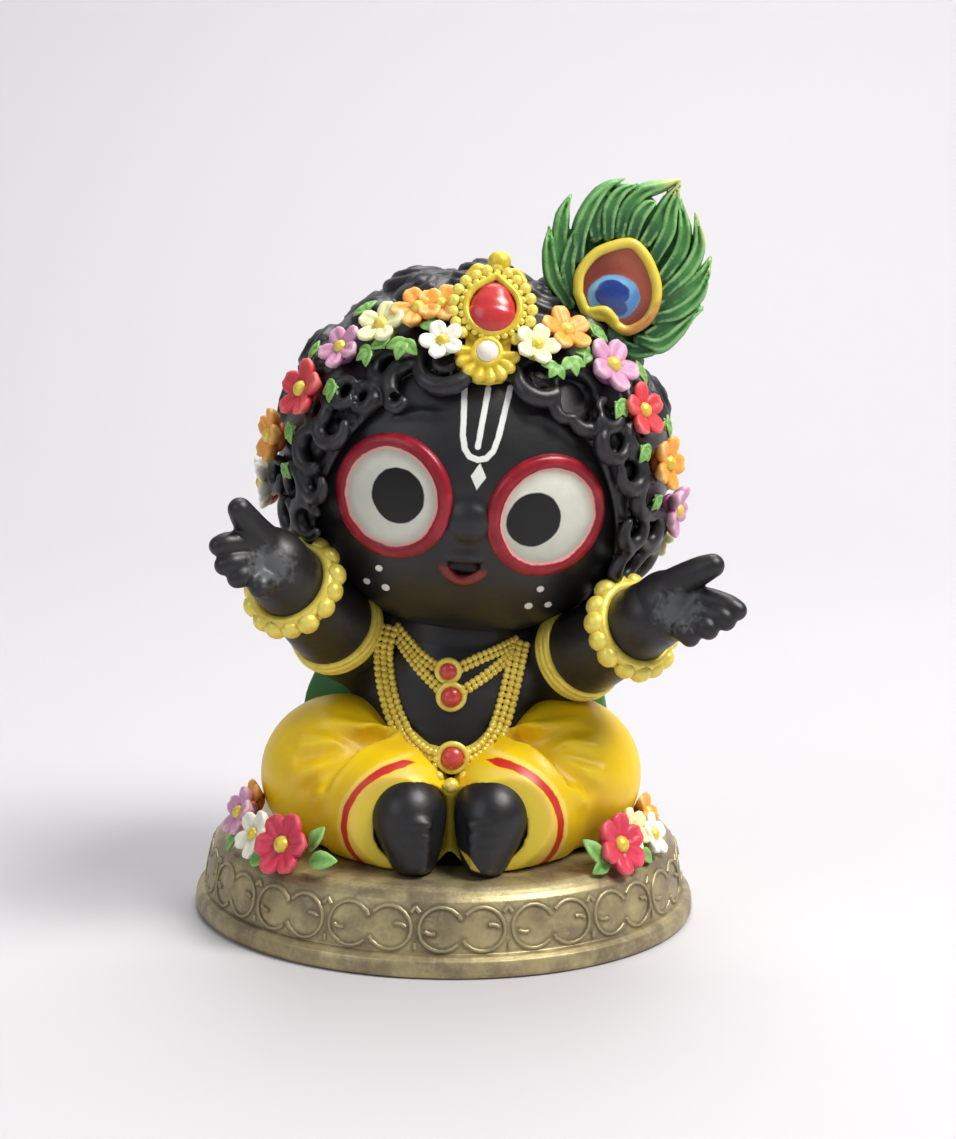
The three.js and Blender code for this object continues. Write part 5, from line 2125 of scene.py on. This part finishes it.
HANDS = (
    Hand(
        "hand_left", (-18.0, -16.2, 42.6), (-19.4, -18.0, 44.2),
        (
            ((-20.8, -19.6, 46.6), (-22.8, -21.4, 47.0), (-24.2, -22.4, 47.1), (-25.0, -22.8, 46.9)),
            ((-20.8, -20.0, 45.0), (-22.4, -21.8, 45.1), (-23.6, -22.8, 45.0), (-24.4, -23.0, 44.8)),
            ((-20.6, -20.2, 43.8), (-21.8, -21.8, 43.8), (-22.6, -22.8, 43.6), (-23.0, -23.0, 43.4)),
            ((-19.6, -20.0, 42.8), (-20.2, -21.6, 42.7), (-20.5, -22.4, 42.5), (-20.6, -22.7, 42.3)),
        ),
        ((-19.8, -18.8, 46.4), (-21.2, -20.4, 48.2), (-22.2, -21.6, 49.8), (-22.8, -22.2, 50.9)),
        (-19.8, -21.0, 44.4),
    ),
    Hand(
        "hand_right", (22.0, -15.4, 37.8), (24.6, -17.4, 40.0),
        (
            ((27.0, -18.8, 41.6), (29.5, -20.4, 41.3), (31.2, -21.4, 40.9), (32.1, -21.8, 40.5)),
            ((27.0, -19.2, 40.4), (29.0, -21.0, 40.2), (30.4, -22.0, 39.8), (30.9, -22.2, 39.4)),
            ((26.4, -19.4, 39.3), (27.8, -21.2, 39.1), (28.7, -22.2, 38.7), (29.0, -22.4, 38.4)),
            ((25.6, -19.2, 38.2), (26.3, -21.0, 38.1), (26.9, -21.9, 37.8), (27.0, -22.1, 37.5)),
        ),
        ((24.9, -18.6, 42.4), (26.6, -19.8, 43.7), (28.2, -20.8, 44.8), (29.3, -21.3, 45.4)),
        (25.8, -20.6, 40.2),
    ),
)


@dataclass
class Jewellery:
    """Armlets, bracelets and necklaces."""

    body: Body
    trunk: Clay
    legs: Clay
    armlet: tuple[float, float] = (0.36, 5.15)
    bracelet: tuple[float, float] = (0.85, 4.7)
    armlet_bands: tuple[Row, ...] = ((-0.75, 0.5), (0.0, 0.62), (0.75, 0.5))
    bracelet_bands: tuple[Row, ...] = ((-0.9, 0.7), (0.35, 0.75))
    lobes: int = 15
    chain_middle: float = 0.7
    chain_front: float = -15.6
    chain_bend: float = 0.85
    chest_foot: float = 22.5
    lap: float = 27.0
    long: tuple[Row, ...] = (
        (-6.9, 35.1), (-7.4, 32.6), (-7.1, 29.3), (-6.2, 25.9), (-4.8, 23.5), (-2.7, 21.9), (-1.0, 21.6),
        (2.8, 21.6), (4.8, 22.6), (6.1, 24.3), (6.8, 26.2), (7.6, 29.6), (8.1, 31.9), (8.5, 33.4),
    )
    upper: tuple[Row, ...] = ((-6.0, 35.0), (-3.0, 32.3), (0.2, 30.9), (3.9, 32.2), (8.1, 33.6))
    lower: tuple[Row, ...] = ((-5.6, 33.6), (-2.4, 30.2), (0.5, 28.2), (3.9, 29.8), (7.6, 32.4))
    stones: tuple[Row, ...] = ((0.2, 30.9, 1.0), (0.6, 28.0, 1.2), (0.9, 21.8, 1.35))
    drops: tuple[Row, ...] = ((-0.7, 19.8, 0.65), (0.8, 19.1, 0.9), (2.3, 19.8, 0.65))

    def hung(self, x: float, z: float, lift: float) -> Point:
        """A place of the front view on the chest, or further down where the long chain hangs.

        Args:
            x: Where to look, across.
            z: Where to look, upward.
            lift: Height over the surface.

        Returns:
            The place.
        """
        spot = self.trunk.front(x, z, lift)
        level = self.chain_bend * abs(x - self.chain_middle) + self.chain_front - lift
        share = min(1.0, max(0.0, (z - self.chest_foot) / 4))
        spot[1] = min(spot[1], share * spot[1] + (1 - share) * level)
        for _ in range(12):
            if z < self.lap and self.legs.sample(spot[None])[0] < lift:
                spot[1] -= 0.15
        return spot

    def ring(self, number: int, share: float, radius: float) -> tuple[np.ndarray, Point, np.ndarray]:
        """A circle around an arm.

        Args:
            number: Which arm.
            share: 0 at the shoulder, 1 at the wrist.
            radius: The circle's radius.

        Returns:
            Its points, the arm's direction and the outward directions.
        """
        centre = self.body.along(number, share, 0.7)
        axis = unit(np.array(self.body.directions[number]))
        axes = axes_at(axis)
        angles = np.linspace(0, FULL_TURN, 65)
        out = np.cos(angles)[:, None] * axes[:, 0] + np.sin(angles)[:, None] * axes[:, 1]
        return centre + out * radius, axis, out

    def arm_rings(self, kit: Kit) -> None:
        """The armlet with its knob, and the bracelet with its lobes.

        Args:
            kit: The shared recipes and paints.
        """
        for number, (name, knob) in enumerate((("left", 24), ("right", 8))):
            armlet, axis, out = self.ring(number, *self.armlet)
            cuff = self.ring(number, *self.bracelet)[0]
            bands = [hoop(armlet + axis * shift, radius) for shift, radius in self.armlet_bands]
            bands += [hoop(cuff + axis * shift, radius) for shift, radius in self.bracelet_bands]
            settle(mesh_piece(f"arm_bands_{name}", gathered(bands), kit.gold, 2))
            beads = []
            for i in range(self.lobes):
                step = round(i * 64 / self.lobes)
                place = cuff[step] + out[step] * 0.6 - axis * 0.25
                beads.append(Spot(place, out[step], 1.25 + 0.12 * (i % 2), axis))
            beads.append(Spot(armlet[knob] + out[knob] * 0.5, out[knob], 1.15, axis))
            kit.bead_rows(f"arm_beads_{name}", beads, 0.85)

    def chain(self, rows: Sequence[Row], offsets: Sequence[float], gap: float, size: float) -> list[Spot]:
        """Spots of bead rows that lie side by side on the chest.

        Args:
            rows: (x, z) points of the middle row.
            offsets: Sideways place of each row.
            gap: Distance between beads.
            size: Radius of a bead.

        Returns:
            The spots.
        """
        path = smooth_path(rows, 8)
        ahead = np.gradient(path, axis=0)
        side = np.stack([-ahead[:, 1], ahead[:, 0]], axis=1) / np.linalg.norm(ahead, axis=1)[:, None]
        lines = [path + side * offset for offset in offsets]
        hung = np.array([[self.hung(x, z, size * 0.45) for x, z in line] for line in lines])
        hung[:, :, 1] = hung[:, :, 1].min(axis=0)
        return [Spot(spot, FRONT, size) for row in hung for spot in spaced(row, gap)]

    def necklaces(self, kit: Kit) -> None:
        """The long chain of three rows, the two short ones, and their stones.

        Args:
            kit: The shared recipes and paints.
        """
        kit.bead_rows("necklace_long", self.chain(self.long, (-0.78, 0.0, 0.78), 0.74, 0.44))
        short = self.chain(self.upper, (-0.35, 0.35), 0.7, 0.4)
        kit.bead_rows("necklace_short", short + self.chain(self.lower, (-0.3, 0.3), 0.7, 0.4))
        bed = np.array([self.hung(x, z, -0.3) for x, z in smooth_path(self.long, 6)])
        settle(mesh_piece("necklace_bed", sweep(bed, 1.0, FRONT, 0.45), kit.deep_gold, 1))
        stones, bezels = [], []
        angles = np.linspace(0, FULL_TURN, 33)
        ring = np.stack([np.cos(angles), 0 * angles, np.sin(angles)], axis=1)
        for x, z, size in self.stones:
            spot = self.hung(x, z, 0.7)
            stones.append(Spot(spot, unit(FRONT + 0.1 * UP), size))
            bezels.append(hoop(spot + ring * (size + 0.25), 0.36))
        settle(mesh_piece("necklace_bezels", gathered(bezels), kit.deep_gold, 1))
        kit.beads.scatter("necklace_stones", stones, Paint=kit.gem, Height=0.75)
        drops = [Spot(self.hung(x, z, 0.9), FRONT, size) for x, z, size in self.drops]
        kit.bead_rows("necklace_drop", drops)


@dataclass
class Trousers:
    """Bulging yellow trouser legs with folds, and a striped cuff around each foot."""

    knees: tuple[Row, Row] = ((-12.3, -5.2, 17.1), (13.6, -5.2, 17.5))
    feet: tuple[Row, Row] = ((-3.9, -18.2, 14.7), (5.4, -18.2, 14.8))
    knee_radii: Row = (9.5, 10.5, 9.2)
    seat: Row = (0.81, 3.0, 13.2)
    seat_radii: Row = (15.4, 11.9, 9.4)
    opening_depth: float = -20.4
    cell: float = 0.38
    leg_steps: Row = (-7.5, -4.0, -1.0, 0.6)
    leg_radii: Row = (8.0, 7.4, 6.0, 5.3)
    hollow_radii: Row = (4.6, 5.2)
    fan: tuple[Row, Row] = ((-7.0, 21.4), (8.0, 21.8))
    stripes: tuple[Row, Row] = ((-3.6, 14.6, 7.6, 7.1), (5.4, 14.6, 7.9, 7.4))
    folds: tuple[tuple[float, float, bool], ...] = (
        (-26, 9.5, True), (0, 11.0, True), (25, 10.0, True), (50, 8.0, True),
        (-13, 10.5, False), (12, 10.5, False), (37, 9.0, False), (-38, 7.0, False),
    )

    def opening(self, number: int) -> Point:
        """The flat direction in which a cuff opens."""
        line = np.array(self.feet[number]) - np.array(self.knees[number])
        return unit(line * (1, 1, 0))

    def clay(self) -> Clay:
        """Models both legs.

        Returns:
            Their clay.
        """
        clay = Clay((-25, -23, 8.5), (26, 16, 28), self.cell)
        clay.add(Egg(np.array(self.seat), np.array(self.seat_radii)))
        for number in range(2):
            foot, out = np.array(self.feet[number]), self.opening(number)
            clay.add(Egg(np.array(self.knees[number]), np.array(self.knee_radii)), 1.5)
            path = [foot + out * s + 0.9 * UP * (s < -2) for s in self.leg_steps]
            clay.add(strand(path, self.leg_radii, 3, flat=xyz(1, 0, 0), thin=0.97), 1.2)
        for number in range(2):
            self.fold(clay, number)
            foot, out = np.array(self.feet[number]), self.opening(number)
            clay.carve(strand([foot + out * 0.5, foot + out * 6], self.hollow_radii), 0.5)
        clay.cut(FIGURE_FOOT * UP, -UP)
        clay.cut(xyz(0, self.opening_depth, 0), FRONT)
        return clay

    def on_knee(self, number: int, angle: float, way: float) -> Point:
        """A place on a knee, some way along its surface from the top of the cuff.

        Args:
            number: Which knee.
            angle: Direction of the way in degrees, 0 outward and 90 upward.
            way: Length of the way.

        Returns:
            The place.
        """
        knee, radii = np.array(self.knees[number]), np.array(self.knee_radii)
        across, height = (np.array(self.fan[number]) - knee[[0, 2]]) / radii[[0, 2]]
        start = xyz(across, -math.sqrt(1 - across**2 - height**2), height)
        axes, turned = axes_at(start), math.radians(angle)
        side = 2 * number - 1
        ahead = side * math.cos(turned) * axes[:, 0] + math.sin(turned) * axes[:, 1]
        turn = way / float(radii.mean())
        return knee + radii * (start * math.cos(turn) + ahead * math.sin(turn))

    def fold(self, clay: Clay, number: int) -> None:
        """Adds soft ridges and then creases that fan out from the top of the cuff over the knee.

        Args:
            clay: The trousers' clay.
            number: Which knee.
        """
        for angle, length, ridge in self.folds:
            rows = np.array([self.on_knee(number, angle, length * share) for share in (0.0, 0.35, 0.7, 1.0)])
            slope = clay.slope(rows)
            slope /= np.linalg.norm(slope, axis=1)[:, None]
            rows -= slope * clay.sample(rows)[:, None]
            if ridge:
                clay.add(strand(rows - slope * 0.2, [0.7, 0.95, 0.75, 0.2]), 1.8)
            else:
                lifts = np.array([0.6, 0.65, 0.62, 0.5])[:, None]
                clay.carve(strand(rows + slope * lifts, [0.9, 1.15, 1.0, 0.5]), 0.9)

    def stripe(self, corners: np.ndarray) -> np.ndarray:
        """Distance from the cuffs' outer stripe, seen from the front.

        Args:
            corners: Corners of the trousers.

        Returns:
            Their distances, positive outside.
        """
        nearest = np.full(len(corners), float(FAR))
        for across, up, wide, high in self.stripes:
            out = np.sqrt(((corners[:, 0] - across) / wide) ** 2 + ((corners[:, 2] - up) / high) ** 2)
            reach = (out - 1) * 7.3
            nearest = np.where(np.abs(reach) < np.abs(nearest), reach, nearest)
        return np.where(corners[:, 1] < -8.0, nearest, float(FAR))

    def paint(self) -> Material:
        """Bright yellow with ochre painted shade in the folds and painted highlights, and a red stripe inside
        a pale line along each cuff.

        Returns:
            The material.
        """
        coat = Paint(
            "trouser_yellow", (238, 200, 8), (184, 122, 6), (246, 214, 40), 0.4,
            shade_share=0.75, highlight_share=0.5, grain=5.0,
        )
        painter = coat.start()
        stripe = painter.own("stripe") + painter.speckle(1.6, 0.3)
        band = stripe.step(-0.4, -0.6) * stripe.step(-4.5, -4.3)
        x, _, _ = painter.local(xyz(0, 0, 0))
        outer = (x - 0.7).size().step(3.2, 5.6)
        tone = painter.mixed(coat.colour, (226, 176, 30), painter.noise(6.0).step(0.45, 0.7) * 0.5)
        # Painted shade in the folds and painted highlights on the ridges.
        tone = coat.brushed(painter, tone)
        tone = painter.mixed(tone, (222, 200, 62), band * 0.75)
        inner_line = outer * band * (stripe + 0.85).size().step(0.4, 0.2)
        tone = painter.mixed(tone, (236, 188, 110), inner_line * 0.5)
        outer_line = outer * (stripe - 0.62).size().step(0.24, 0.12)
        tone = painter.mixed(tone, (244, 214, 110), outer_line * 0.8)
        tone = painter.mixed(tone, (196, 42, 34), (stripe.size() + (1 - outer) * 0.45).step(0.4, 0.3))
        return coat.dress(painter, tone)

    def make(self) -> Clay:
        """Builds and dresses the trousers.

        Returns:
            Their clay.
        """
        clay = self.clay()
        shell = clay.skin()
        piece = mesh_piece("trousers", shell, self.paint(), 3)
        mark(piece.data, "stripe", self.stripe(shell.corners))
        settle(piece)
        return clay


@dataclass
class Feet:
    """Two upright feet, their toes stacked at the front."""

    centres: tuple[Row, Row] = ((-3.8, -18.6, 14.8), (5.3, -18.6, 14.9))
    radii: Row = (4.35, 4.9, 4.7)
    cell: float = 0.3
    lumps: tuple[Row, ...] = (
        (-0.4, -1.0, -2.1, 3.2, 4.0, 3.4, 1.4),
        (-0.5, -1.4, -3.9, 2.5, 3.5, 2.0, 0.8),
        (0, 3.5, 0.4, 4.1, 4.5, 4.9, 1.0),
    )
    toes: Row = (0.9, -0.6, -1.9, -3.0, -4.0)
    toe_radii: Row = (1.6, 0.7, 0.66)
    fleck: Row = (3.1, -20.0, 11.5)

    def paint(self) -> Material:
        """Black, with a fleck of gold low on the inner side of the right foot.

        Returns:
            The material.
        """
        painter = BLACK.start()
        x, _, z = painter.local(np.array(self.fleck))
        fleck = (x.size() / 1.2 + (z + x * 0.8).size() / 0.65).step(1.1, 0.9)
        skin = BLACK.brushed(painter, BLACK.colour)
        return BLACK.dress(painter, painter.mixed(skin, (196, 170, 60), fleck))

    def make(self) -> None:
        """Builds and dresses the feet."""
        for name, centre, side in zip(("foot_left", "foot_right"), self.centres, (-1, 1)):
            place = np.array(centre)
            clay = Clay(place - xyz(6, 7, 7), place + xyz(6, 8, 7), self.cell)
            clay.add(Egg(place + xyz(side * 0.2, 0.2, 0.9), np.array(self.radii)))
            for x, y, z, wide, deep, high, blend in self.lumps:
                clay.add(Egg(place + xyz(side * x, y, z), xyz(wide, deep, high)), blend)
            for i, height in enumerate(self.toes):
                size = 1.0 - 0.08 * i
                toe = clay.front(place[0] - side * 1.0, place[2] + height, -0.3 * size)
                clay.add(Egg(toe, size * np.array(self.toe_radii)), 0.8)
            clay.cut(FIGURE_FOOT * UP, -UP)
            settle(mesh_piece(name, clay.skin(), self.paint(), 2))


@dataclass
class Cape:
    """Green cloth that hangs in folds behind the back."""

    centre: Row = (0.81, 2.5, FIGURE_FOOT)
    width: float = 37.6
    depth: float = 13.8
    height: float = 20.6
    front: float = -0.05
    folds: int = 11
    profile: tuple[Row, ...] = (
        (0, 0), (0.9, 0), (0.97, 0.02), (1.0, 0.12), (0.99, 0.4), (0.975, 0.6), (0.95, 0.75), (0.9, 0.86),
        (0.77, 0.94), (0.6, 0.985), (0.3, 1.0), (0, 1.0),
    )

    def make(self) -> None:
        """Builds and dresses the cape."""
        knots = np.arange(len(self.profile))
        fine = np.linspace(0, knots[-1], 60)
        rows = np.stack([np.interp(fine, knots, column) for column in zip(*self.profile)], axis=1)
        shell = lathe(rows, 200)
        x, y, z = shell.corners.T
        angle = np.arctan2(y, x)
        low = 1 - z
        ripple = np.cos(self.folds * angle + 1.5 * np.sin(2 * angle)) * 0.05 - 0.02
        ripple += np.cos(2.3 * self.folds * angle) * 0.012
        fold = 1 + ripple * (0.25 + 0.75 * low) * (np.hypot(x, y) > 0.3)
        back = np.where(y > self.front, y, self.front + (y - self.front) * 0.04)
        hung = np.stack([x * fold * self.width / 2, back * fold * self.depth, z * self.height], axis=1)
        shell.corners = hung + np.array(self.centre)
        settle(mesh_piece("cape", shell, CLOTH_GREEN.material(), 3))


# The plinth


@dataclass
class Plinth:
    """The round base: foot band, ornament band, brushed top, and flowers on its rim."""

    profile: tuple[Row, ...] = (
        (0, 0), (29.4, 0), (29.8, 0.2), (29.95, 0.6), (29.9, 1.6), (29.75, 2.1), (29.3, 2.4),
        (28.75, 2.55), (28.65, 2.9), (28.6, 4.0), (28.35, 5.4), (28.0, 7.0), (27.8, 7.7), (27.6, 8.2),
        (27.2, 8.7), (26.6, 9.15), (26.0, 9.4), (25.2, 9.48), (20, 9.5), (12, 9.5), (0, 9.5),
    )
    units: int = 17
    stroke: float = 0.24
    first: float = 4.8
    band_radius: float = 28.4
    middle: float = 5.3

    def radius_at(self, height: float) -> float:
        """The body's radius at a height of the ornament band."""
        rows = self.profile[7:13]
        return float(np.interp(height, [z for _, z in rows], [r for r, _ in rows]))

    def lines(self) -> list[np.ndarray]:
        """Draws one unit of the ornament.

        Returns:
            Its strokes, each as (across, height) rows.
        """

        def arc(x: float, z: float, wide: float, high: float, start: float, end: float) -> np.ndarray:
            """Points of an elliptical arc."""
            angles = np.radians(np.linspace(start, end, 16))
            return np.stack([x + wide * np.cos(angles), z + high * np.sin(angles)], axis=1)

        strokes = []
        for side in (-1, 1):
            way = 90 - side * 90
            strokes.append(arc(side * 2.3, self.middle, 2.5, 2.4, way - 138, way + 138))
            strokes.append(arc(side * 3.3, self.middle, 0.9, 0.5, way + 20, way + 110))
            inner = [(side * 0.45, self.middle - side * 1.75), (side * 0.1, self.middle - side * 1.1)]
            strokes.append(np.array(inner))
            strokes.append(np.array([(side * 5.25, 7.7), (side * 4.75, 7.1)]))
        strokes.append(np.array([(5.27, 3.1), (5.27, 3.8)]))
        return strokes

    def bent(self, rows: np.ndarray) -> np.ndarray:
        """Lays points of the unfolded band on the round body.

        Args:
            rows: (across, height) rows.

        Returns:
            The points.
        """
        spots = []
        for across, height in rows:
            radius = self.radius_at(height)
            angle = across / self.band_radius + math.radians(self.first)
            spots.append(xyz(radius * math.sin(angle), -radius * math.cos(angle), height))
        return np.array(spots)

    def ornament(self, paint: Material) -> None:
        """Sets the unit of strokes around the body.

        Args:
            paint: The material.
        """
        recipe = Recipe("ornament")
        stroke = recipe.size("Stroke")
        count = recipe.size("Units", "Int")
        finish = recipe.size("Paint", "Material")
        curve = recipe.made("GeometryNodeMeshToCurve", {0: recipe.entry.outputs[0]})
        ring = recipe.made("GeometryNodeCurvePrimitiveCircle", {"Resolution": 8, "Radius": stroke})
        tube = recipe.made("GeometryNodeCurveToMesh", {0: curve, 1: ring, "Fill Caps": True})
        marks = recipe.made("GeometryNodePoints", {"Count": count})
        index = Value(recipe, recipe.made("GeometryNodeInputIndex", {}))
        turn = recipe.vector(0.0, 0.0, index * FULL_TURN / Value(recipe, count))
        recipe.end(recipe.copies(marks, recipe.painted(tube, finish), Rotation=turn))
        points, edges = [], []
        for rows in self.lines():
            start = len(points)
            points.extend(self.bent(rows))
            edges.extend((i, i + 1) for i in range(start, len(points) - 1))
        mesh = seed_mesh("ornament_lines", np.array(points), edges)
        values = {"Stroke": self.stroke * MM, "Units": self.units, "Paint": paint}
        recipe.run("ornament", mesh, values, "plinth")

    def near_lines(self, corners: np.ndarray) -> np.ndarray:
        """Distance from the nearest ornament stroke.

        Args:
            corners: Corners of the body.

        Returns:
            Their distances.
        """
        angle = np.degrees(np.arctan2(corners[:, 0], -corners[:, 1])) - self.first
        pitch = 360 / self.units
        across = np.radians((angle + pitch / 2) % pitch - pitch / 2) * self.band_radius
        flat = np.stack([across, corners[:, 2]], axis=1)
        nearest = np.full(len(corners), float(FAR))
        for rows in self.lines():
            for a, b in zip(rows[:-1], rows[1:]):
                edge = b - a
                share = np.clip(((flat - a) @ edge) / (edge @ edge), 0, 1)
                nearest = np.minimum(nearest, np.linalg.norm(flat - a - share[:, None] * edge, axis=1))
        return nearest

    def paint(self) -> Material:
        """Antique bronze with painted shade in its recesses and beside the ornament, and lighter edges,
        partly rubbed bronze and partly a painted highlight.

        Returns:
            The material.
        """
        coat = Paint(
            "bronze", (156, 141, 106), (84, 72, 52), (216, 204, 160), 0.42, 0.55,
            shade_share=0.5, highlight_share=0.7, grain=2.2, relief=0.05,
        )
        painter = coat.start()
        groove = painter.own("groove")
        tone = painter.mixed((134, 120, 94), (176, 162, 118), painter.noise(5.0, 4).step(0.36, 0.66))
        # Painted shade in the recesses and a painted highlight on the edges.
        tone = coat.brushed(painter, tone)
        # Painted shade beside the ornament's raised strokes.
        stroke_shade = (groove + painter.speckle(0.8, 0.4)).step(0.6, 0.3)
        tone = painter.mixed(tone, (96, 83, 62), stroke_shade * 0.4)
        x, y, z = painter.local(xyz(0, 0, 0))
        # The top darkens around where the figure sits.
        dark_patch = root(x - 0.8, y * 1.15).step(22.5, 18.5) * z.step(9.0, 9.4)
        dark_patch = (dark_patch + painter.speckle(1.8, 0.7, 4)).step(0.35, 0.75)
        return coat.dress(painter, painter.mixed(tone, (52, 42, 32), dark_patch * 0.8))

    def make(self, kit: Kit) -> None:
        """Builds and dresses the plinth.

        Args:
            kit: The shared recipes and paints.
        """
        profile = np.array(self.profile)
        run = run_of(profile)
        at = np.unique(np.concatenate([run, np.arange(29.6, 40, 0.22), np.linspace(0, run[-1], 40)]))
        shell = lathe(np.stack([np.interp(at, run, column) for column in profile.T], axis=1), 510)
        paint = self.paint()
        piece = mesh_piece("plinth_body", shell, paint, 1)
        mark(piece.data, "groove", self.near_lines(shell.corners))
        settle(piece, "plinth")
        self.ornament(paint)
        self.flowers(kit)

    def flowers(self, kit: Kit) -> None:
        """Flowers and leaves on both sides of the rim.

        Args:
            kit: The shared recipes and paints.
        """
        blooms = (
            (Bloom.WHITE, (-21.5, -15.1, 12.0), 3.0), (Bloom.LILAC, (-23.6, -9.9, 13.1), 3.1),
            (Bloom.ORANGE, (-22.6, -7.6, 14.0), 2.6), (Bloom.WHITE, (24.2, -9.8, 11.3), 2.7),
            (Bloom.CREAM, (21.8, -12.8, 12.8), 2.6), (Bloom.ORANGE, (23.6, -7.2, 13.3), 2.5),
        )
        rows = [(b, self.rim_spot(xyz(*p), s, 25.0 * n)) for n, (b, p, s) in enumerate(blooms)]
        kit.flowers("rim", rows, "plinth")
        broad = ((Bloom.ROSE, (-17.8, -20.0, 12.2), 3.8), (Bloom.ROSE, (19.9, -16.9, 12.0), 3.7))
        rows = [(b, self.rim_spot(xyz(*p), s, 12.0)) for b, p, s in broad]
        kit.flowers("rim_broad", rows, "plinth", 6)
        leaves = (
            ((-13.6, -22.4, 11.2), 10, 2.0), ((-14.3, -20.5, 13.2), 70, 1.7), ((-21.1, -17.6, 9.9), 200, 1.7),
            ((17.1, -19.6, 12.0), 120, 1.9), ((23.3, -13.6, 9.9), 330, 1.7), ((-24.6, -11.5, 10.2), 250, 1.6),
            ((18.0, -19.6, 10.3), 200, 1.6), ((-23.5, -6.5, 12.0), 160, 1.5), ((23.4, -5.5, 11.6), 20, 1.5),
        )
        kit.foliage("rim_leaves", [self.rim_spot(xyz(*p), s, a) for p, a, s in leaves], "plinth")

    @staticmethod
    def rim_spot(place: Point, size: float, spin: float) -> Spot:
        """A spot that looks outward and a little up from the plinth's axis."""
        facing = unit(unit(place * (1, 1, 0)) + 0.45 * UP)
        return Spot(place, facing, size, rotated(np.cross(UP, facing), facing, spin))


# Floor, lights and camera


def standing(axes: np.ndarray, place: Row) -> Matrix:
    """The matrix of a thing with these axes at a place in metres."""
    return Matrix([(*axes[i], place[i]) for i in range(3)] + [(0, 0, 0, 1)])


@dataclass
class Studio:
    """A plain pale floor that curves up behind, soft lights and the photograph's camera."""

    camera_place: Row = (0.00343, -0.30407, 0.09412)
    pitch: float = 9.95
    roll: float = 0.98
    lens: float = 82.18
    lights: tuple[tuple[str, Row, Row, float, float, Row], ...] = (
        ("key", (0.36, -0.18, 0.6), (0, 0, 0.04), 0.3, 5.8, (1.0, 0.975, 0.94)),
        ("fill", (-0.55, -0.5, 0.42), (0, 0, 0.04), 0.5, 1.3, (0.93, 0.96, 1.0)),
        ("top", (0.05, 0.3, 0.7), (0, 0, 0.03), 0.45, 3.6, (1.0, 1.0, 1.0)),
    )

    def floor(self) -> None:
        """A sweep of floor and backdrop."""
        half, near, bend, top = 1.6, -0.9, 0.25, 1.2
        turns = np.linspace(0.1, math.pi / 2, 16)
        rows = [(near, 0.0), (bend, 0.0)]
        rows += [(bend + bend * math.sin(turn), bend - bend * math.cos(turn)) for turn in turns]
        rows.append((2 * bend, top))
        points = [(x, y, z) for y, z in rows for x in (-half, half)]
        faces = [(2 * i, 2 * i + 1, 2 * i + 3, 2 * i + 2) for i in range(len(rows) - 1)]
        mesh = bpy.data.meshes.new("floor")
        mesh.from_pydata(points, [], faces)
        mesh.shade_smooth()
        painter = Painter("floor_paint")
        painter.finish((194, 192, 195), 0.6)
        mesh.materials.append(painter.material)
        shown("floor", mesh)

    def light(self, name: str, place: Row, aim: Row, size: float, power: float, colour: Row) -> None:
        """A soft square light that looks at a point.

        Args:
            name: Name of the light.
            place: Its place in metres.
            aim: The point.
            size: Its width in metres.
            power: Its power in watts.
            colour: Its colour.
        """
        lamp = bpy.data.lights.new(name, "AREA")
        lamp.shape = "SQUARE"
        lamp.size = size
        lamp.energy = power
        lamp.color = tuple(colour)
        shown(name, lamp).matrix_world = standing(axes_at(np.array(place) - np.array(aim)), place)

    def camera(self) -> None:
        """The camera at the photograph's place."""
        p, r = math.radians(self.pitch), math.radians(self.roll)
        right, up = xyz(1, 0, 0), xyz(0, math.sin(p), math.cos(p))
        ahead = xyz(0, math.cos(p), -math.sin(p))
        turned = [math.cos(r) * right + math.sin(r) * up, -math.sin(r) * right + math.cos(r) * up, -ahead]
        axes = np.stack(turned, axis=1)
        data = bpy.data.cameras.new("camera")
        data.sensor_width = 36
        data.lens = self.lens
        data.clip_start = 0.01
        bpy.context.scene.camera = shown("camera", data)
        bpy.context.scene.camera.matrix_world = standing(axes, self.camera_place)

    def make(self) -> None:
        """Sets up the studio."""
        self.floor()
        self.camera()
        for light in self.lights:
            self.light(*light)
        world = bpy.data.worlds.new("room_light")
        world.use_nodes = True
        background = world.node_tree.nodes["Background"]
        background.inputs[0].default_value = (0.82, 0.84, 0.88, 1.0)
        background.inputs[1].default_value = 0.3
        bpy.context.scene.world = world
        bpy.context.scene.view_settings.view_transform = "Standard"


def main() -> None:
    """Builds the scene; each piece's face count goes to the log."""
    logging.basicConfig(level=logging.INFO, format="%(message)s")
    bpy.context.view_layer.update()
    kit = Kit()
    Face().make()
    Eye(-1).make()
    Eye(1, inward=1.85, rise=-0.3, shift=0.45).make()
    Hair().make(kit)
    Garland().make(kit)
    CrownJewel().make(kit)
    Feather().make()
    body = Body()
    jewellery = Jewellery(body, body.make(kit), Trousers().make())
    for hand in HANDS:
        hand.make()
    jewellery.arm_rings(kit)
    jewellery.necklaces(kit)
    Feet().make()
    Cape().make()
    Plinth().make(kit)
    Studio().make()


if __name__ == "__main__":
    main()
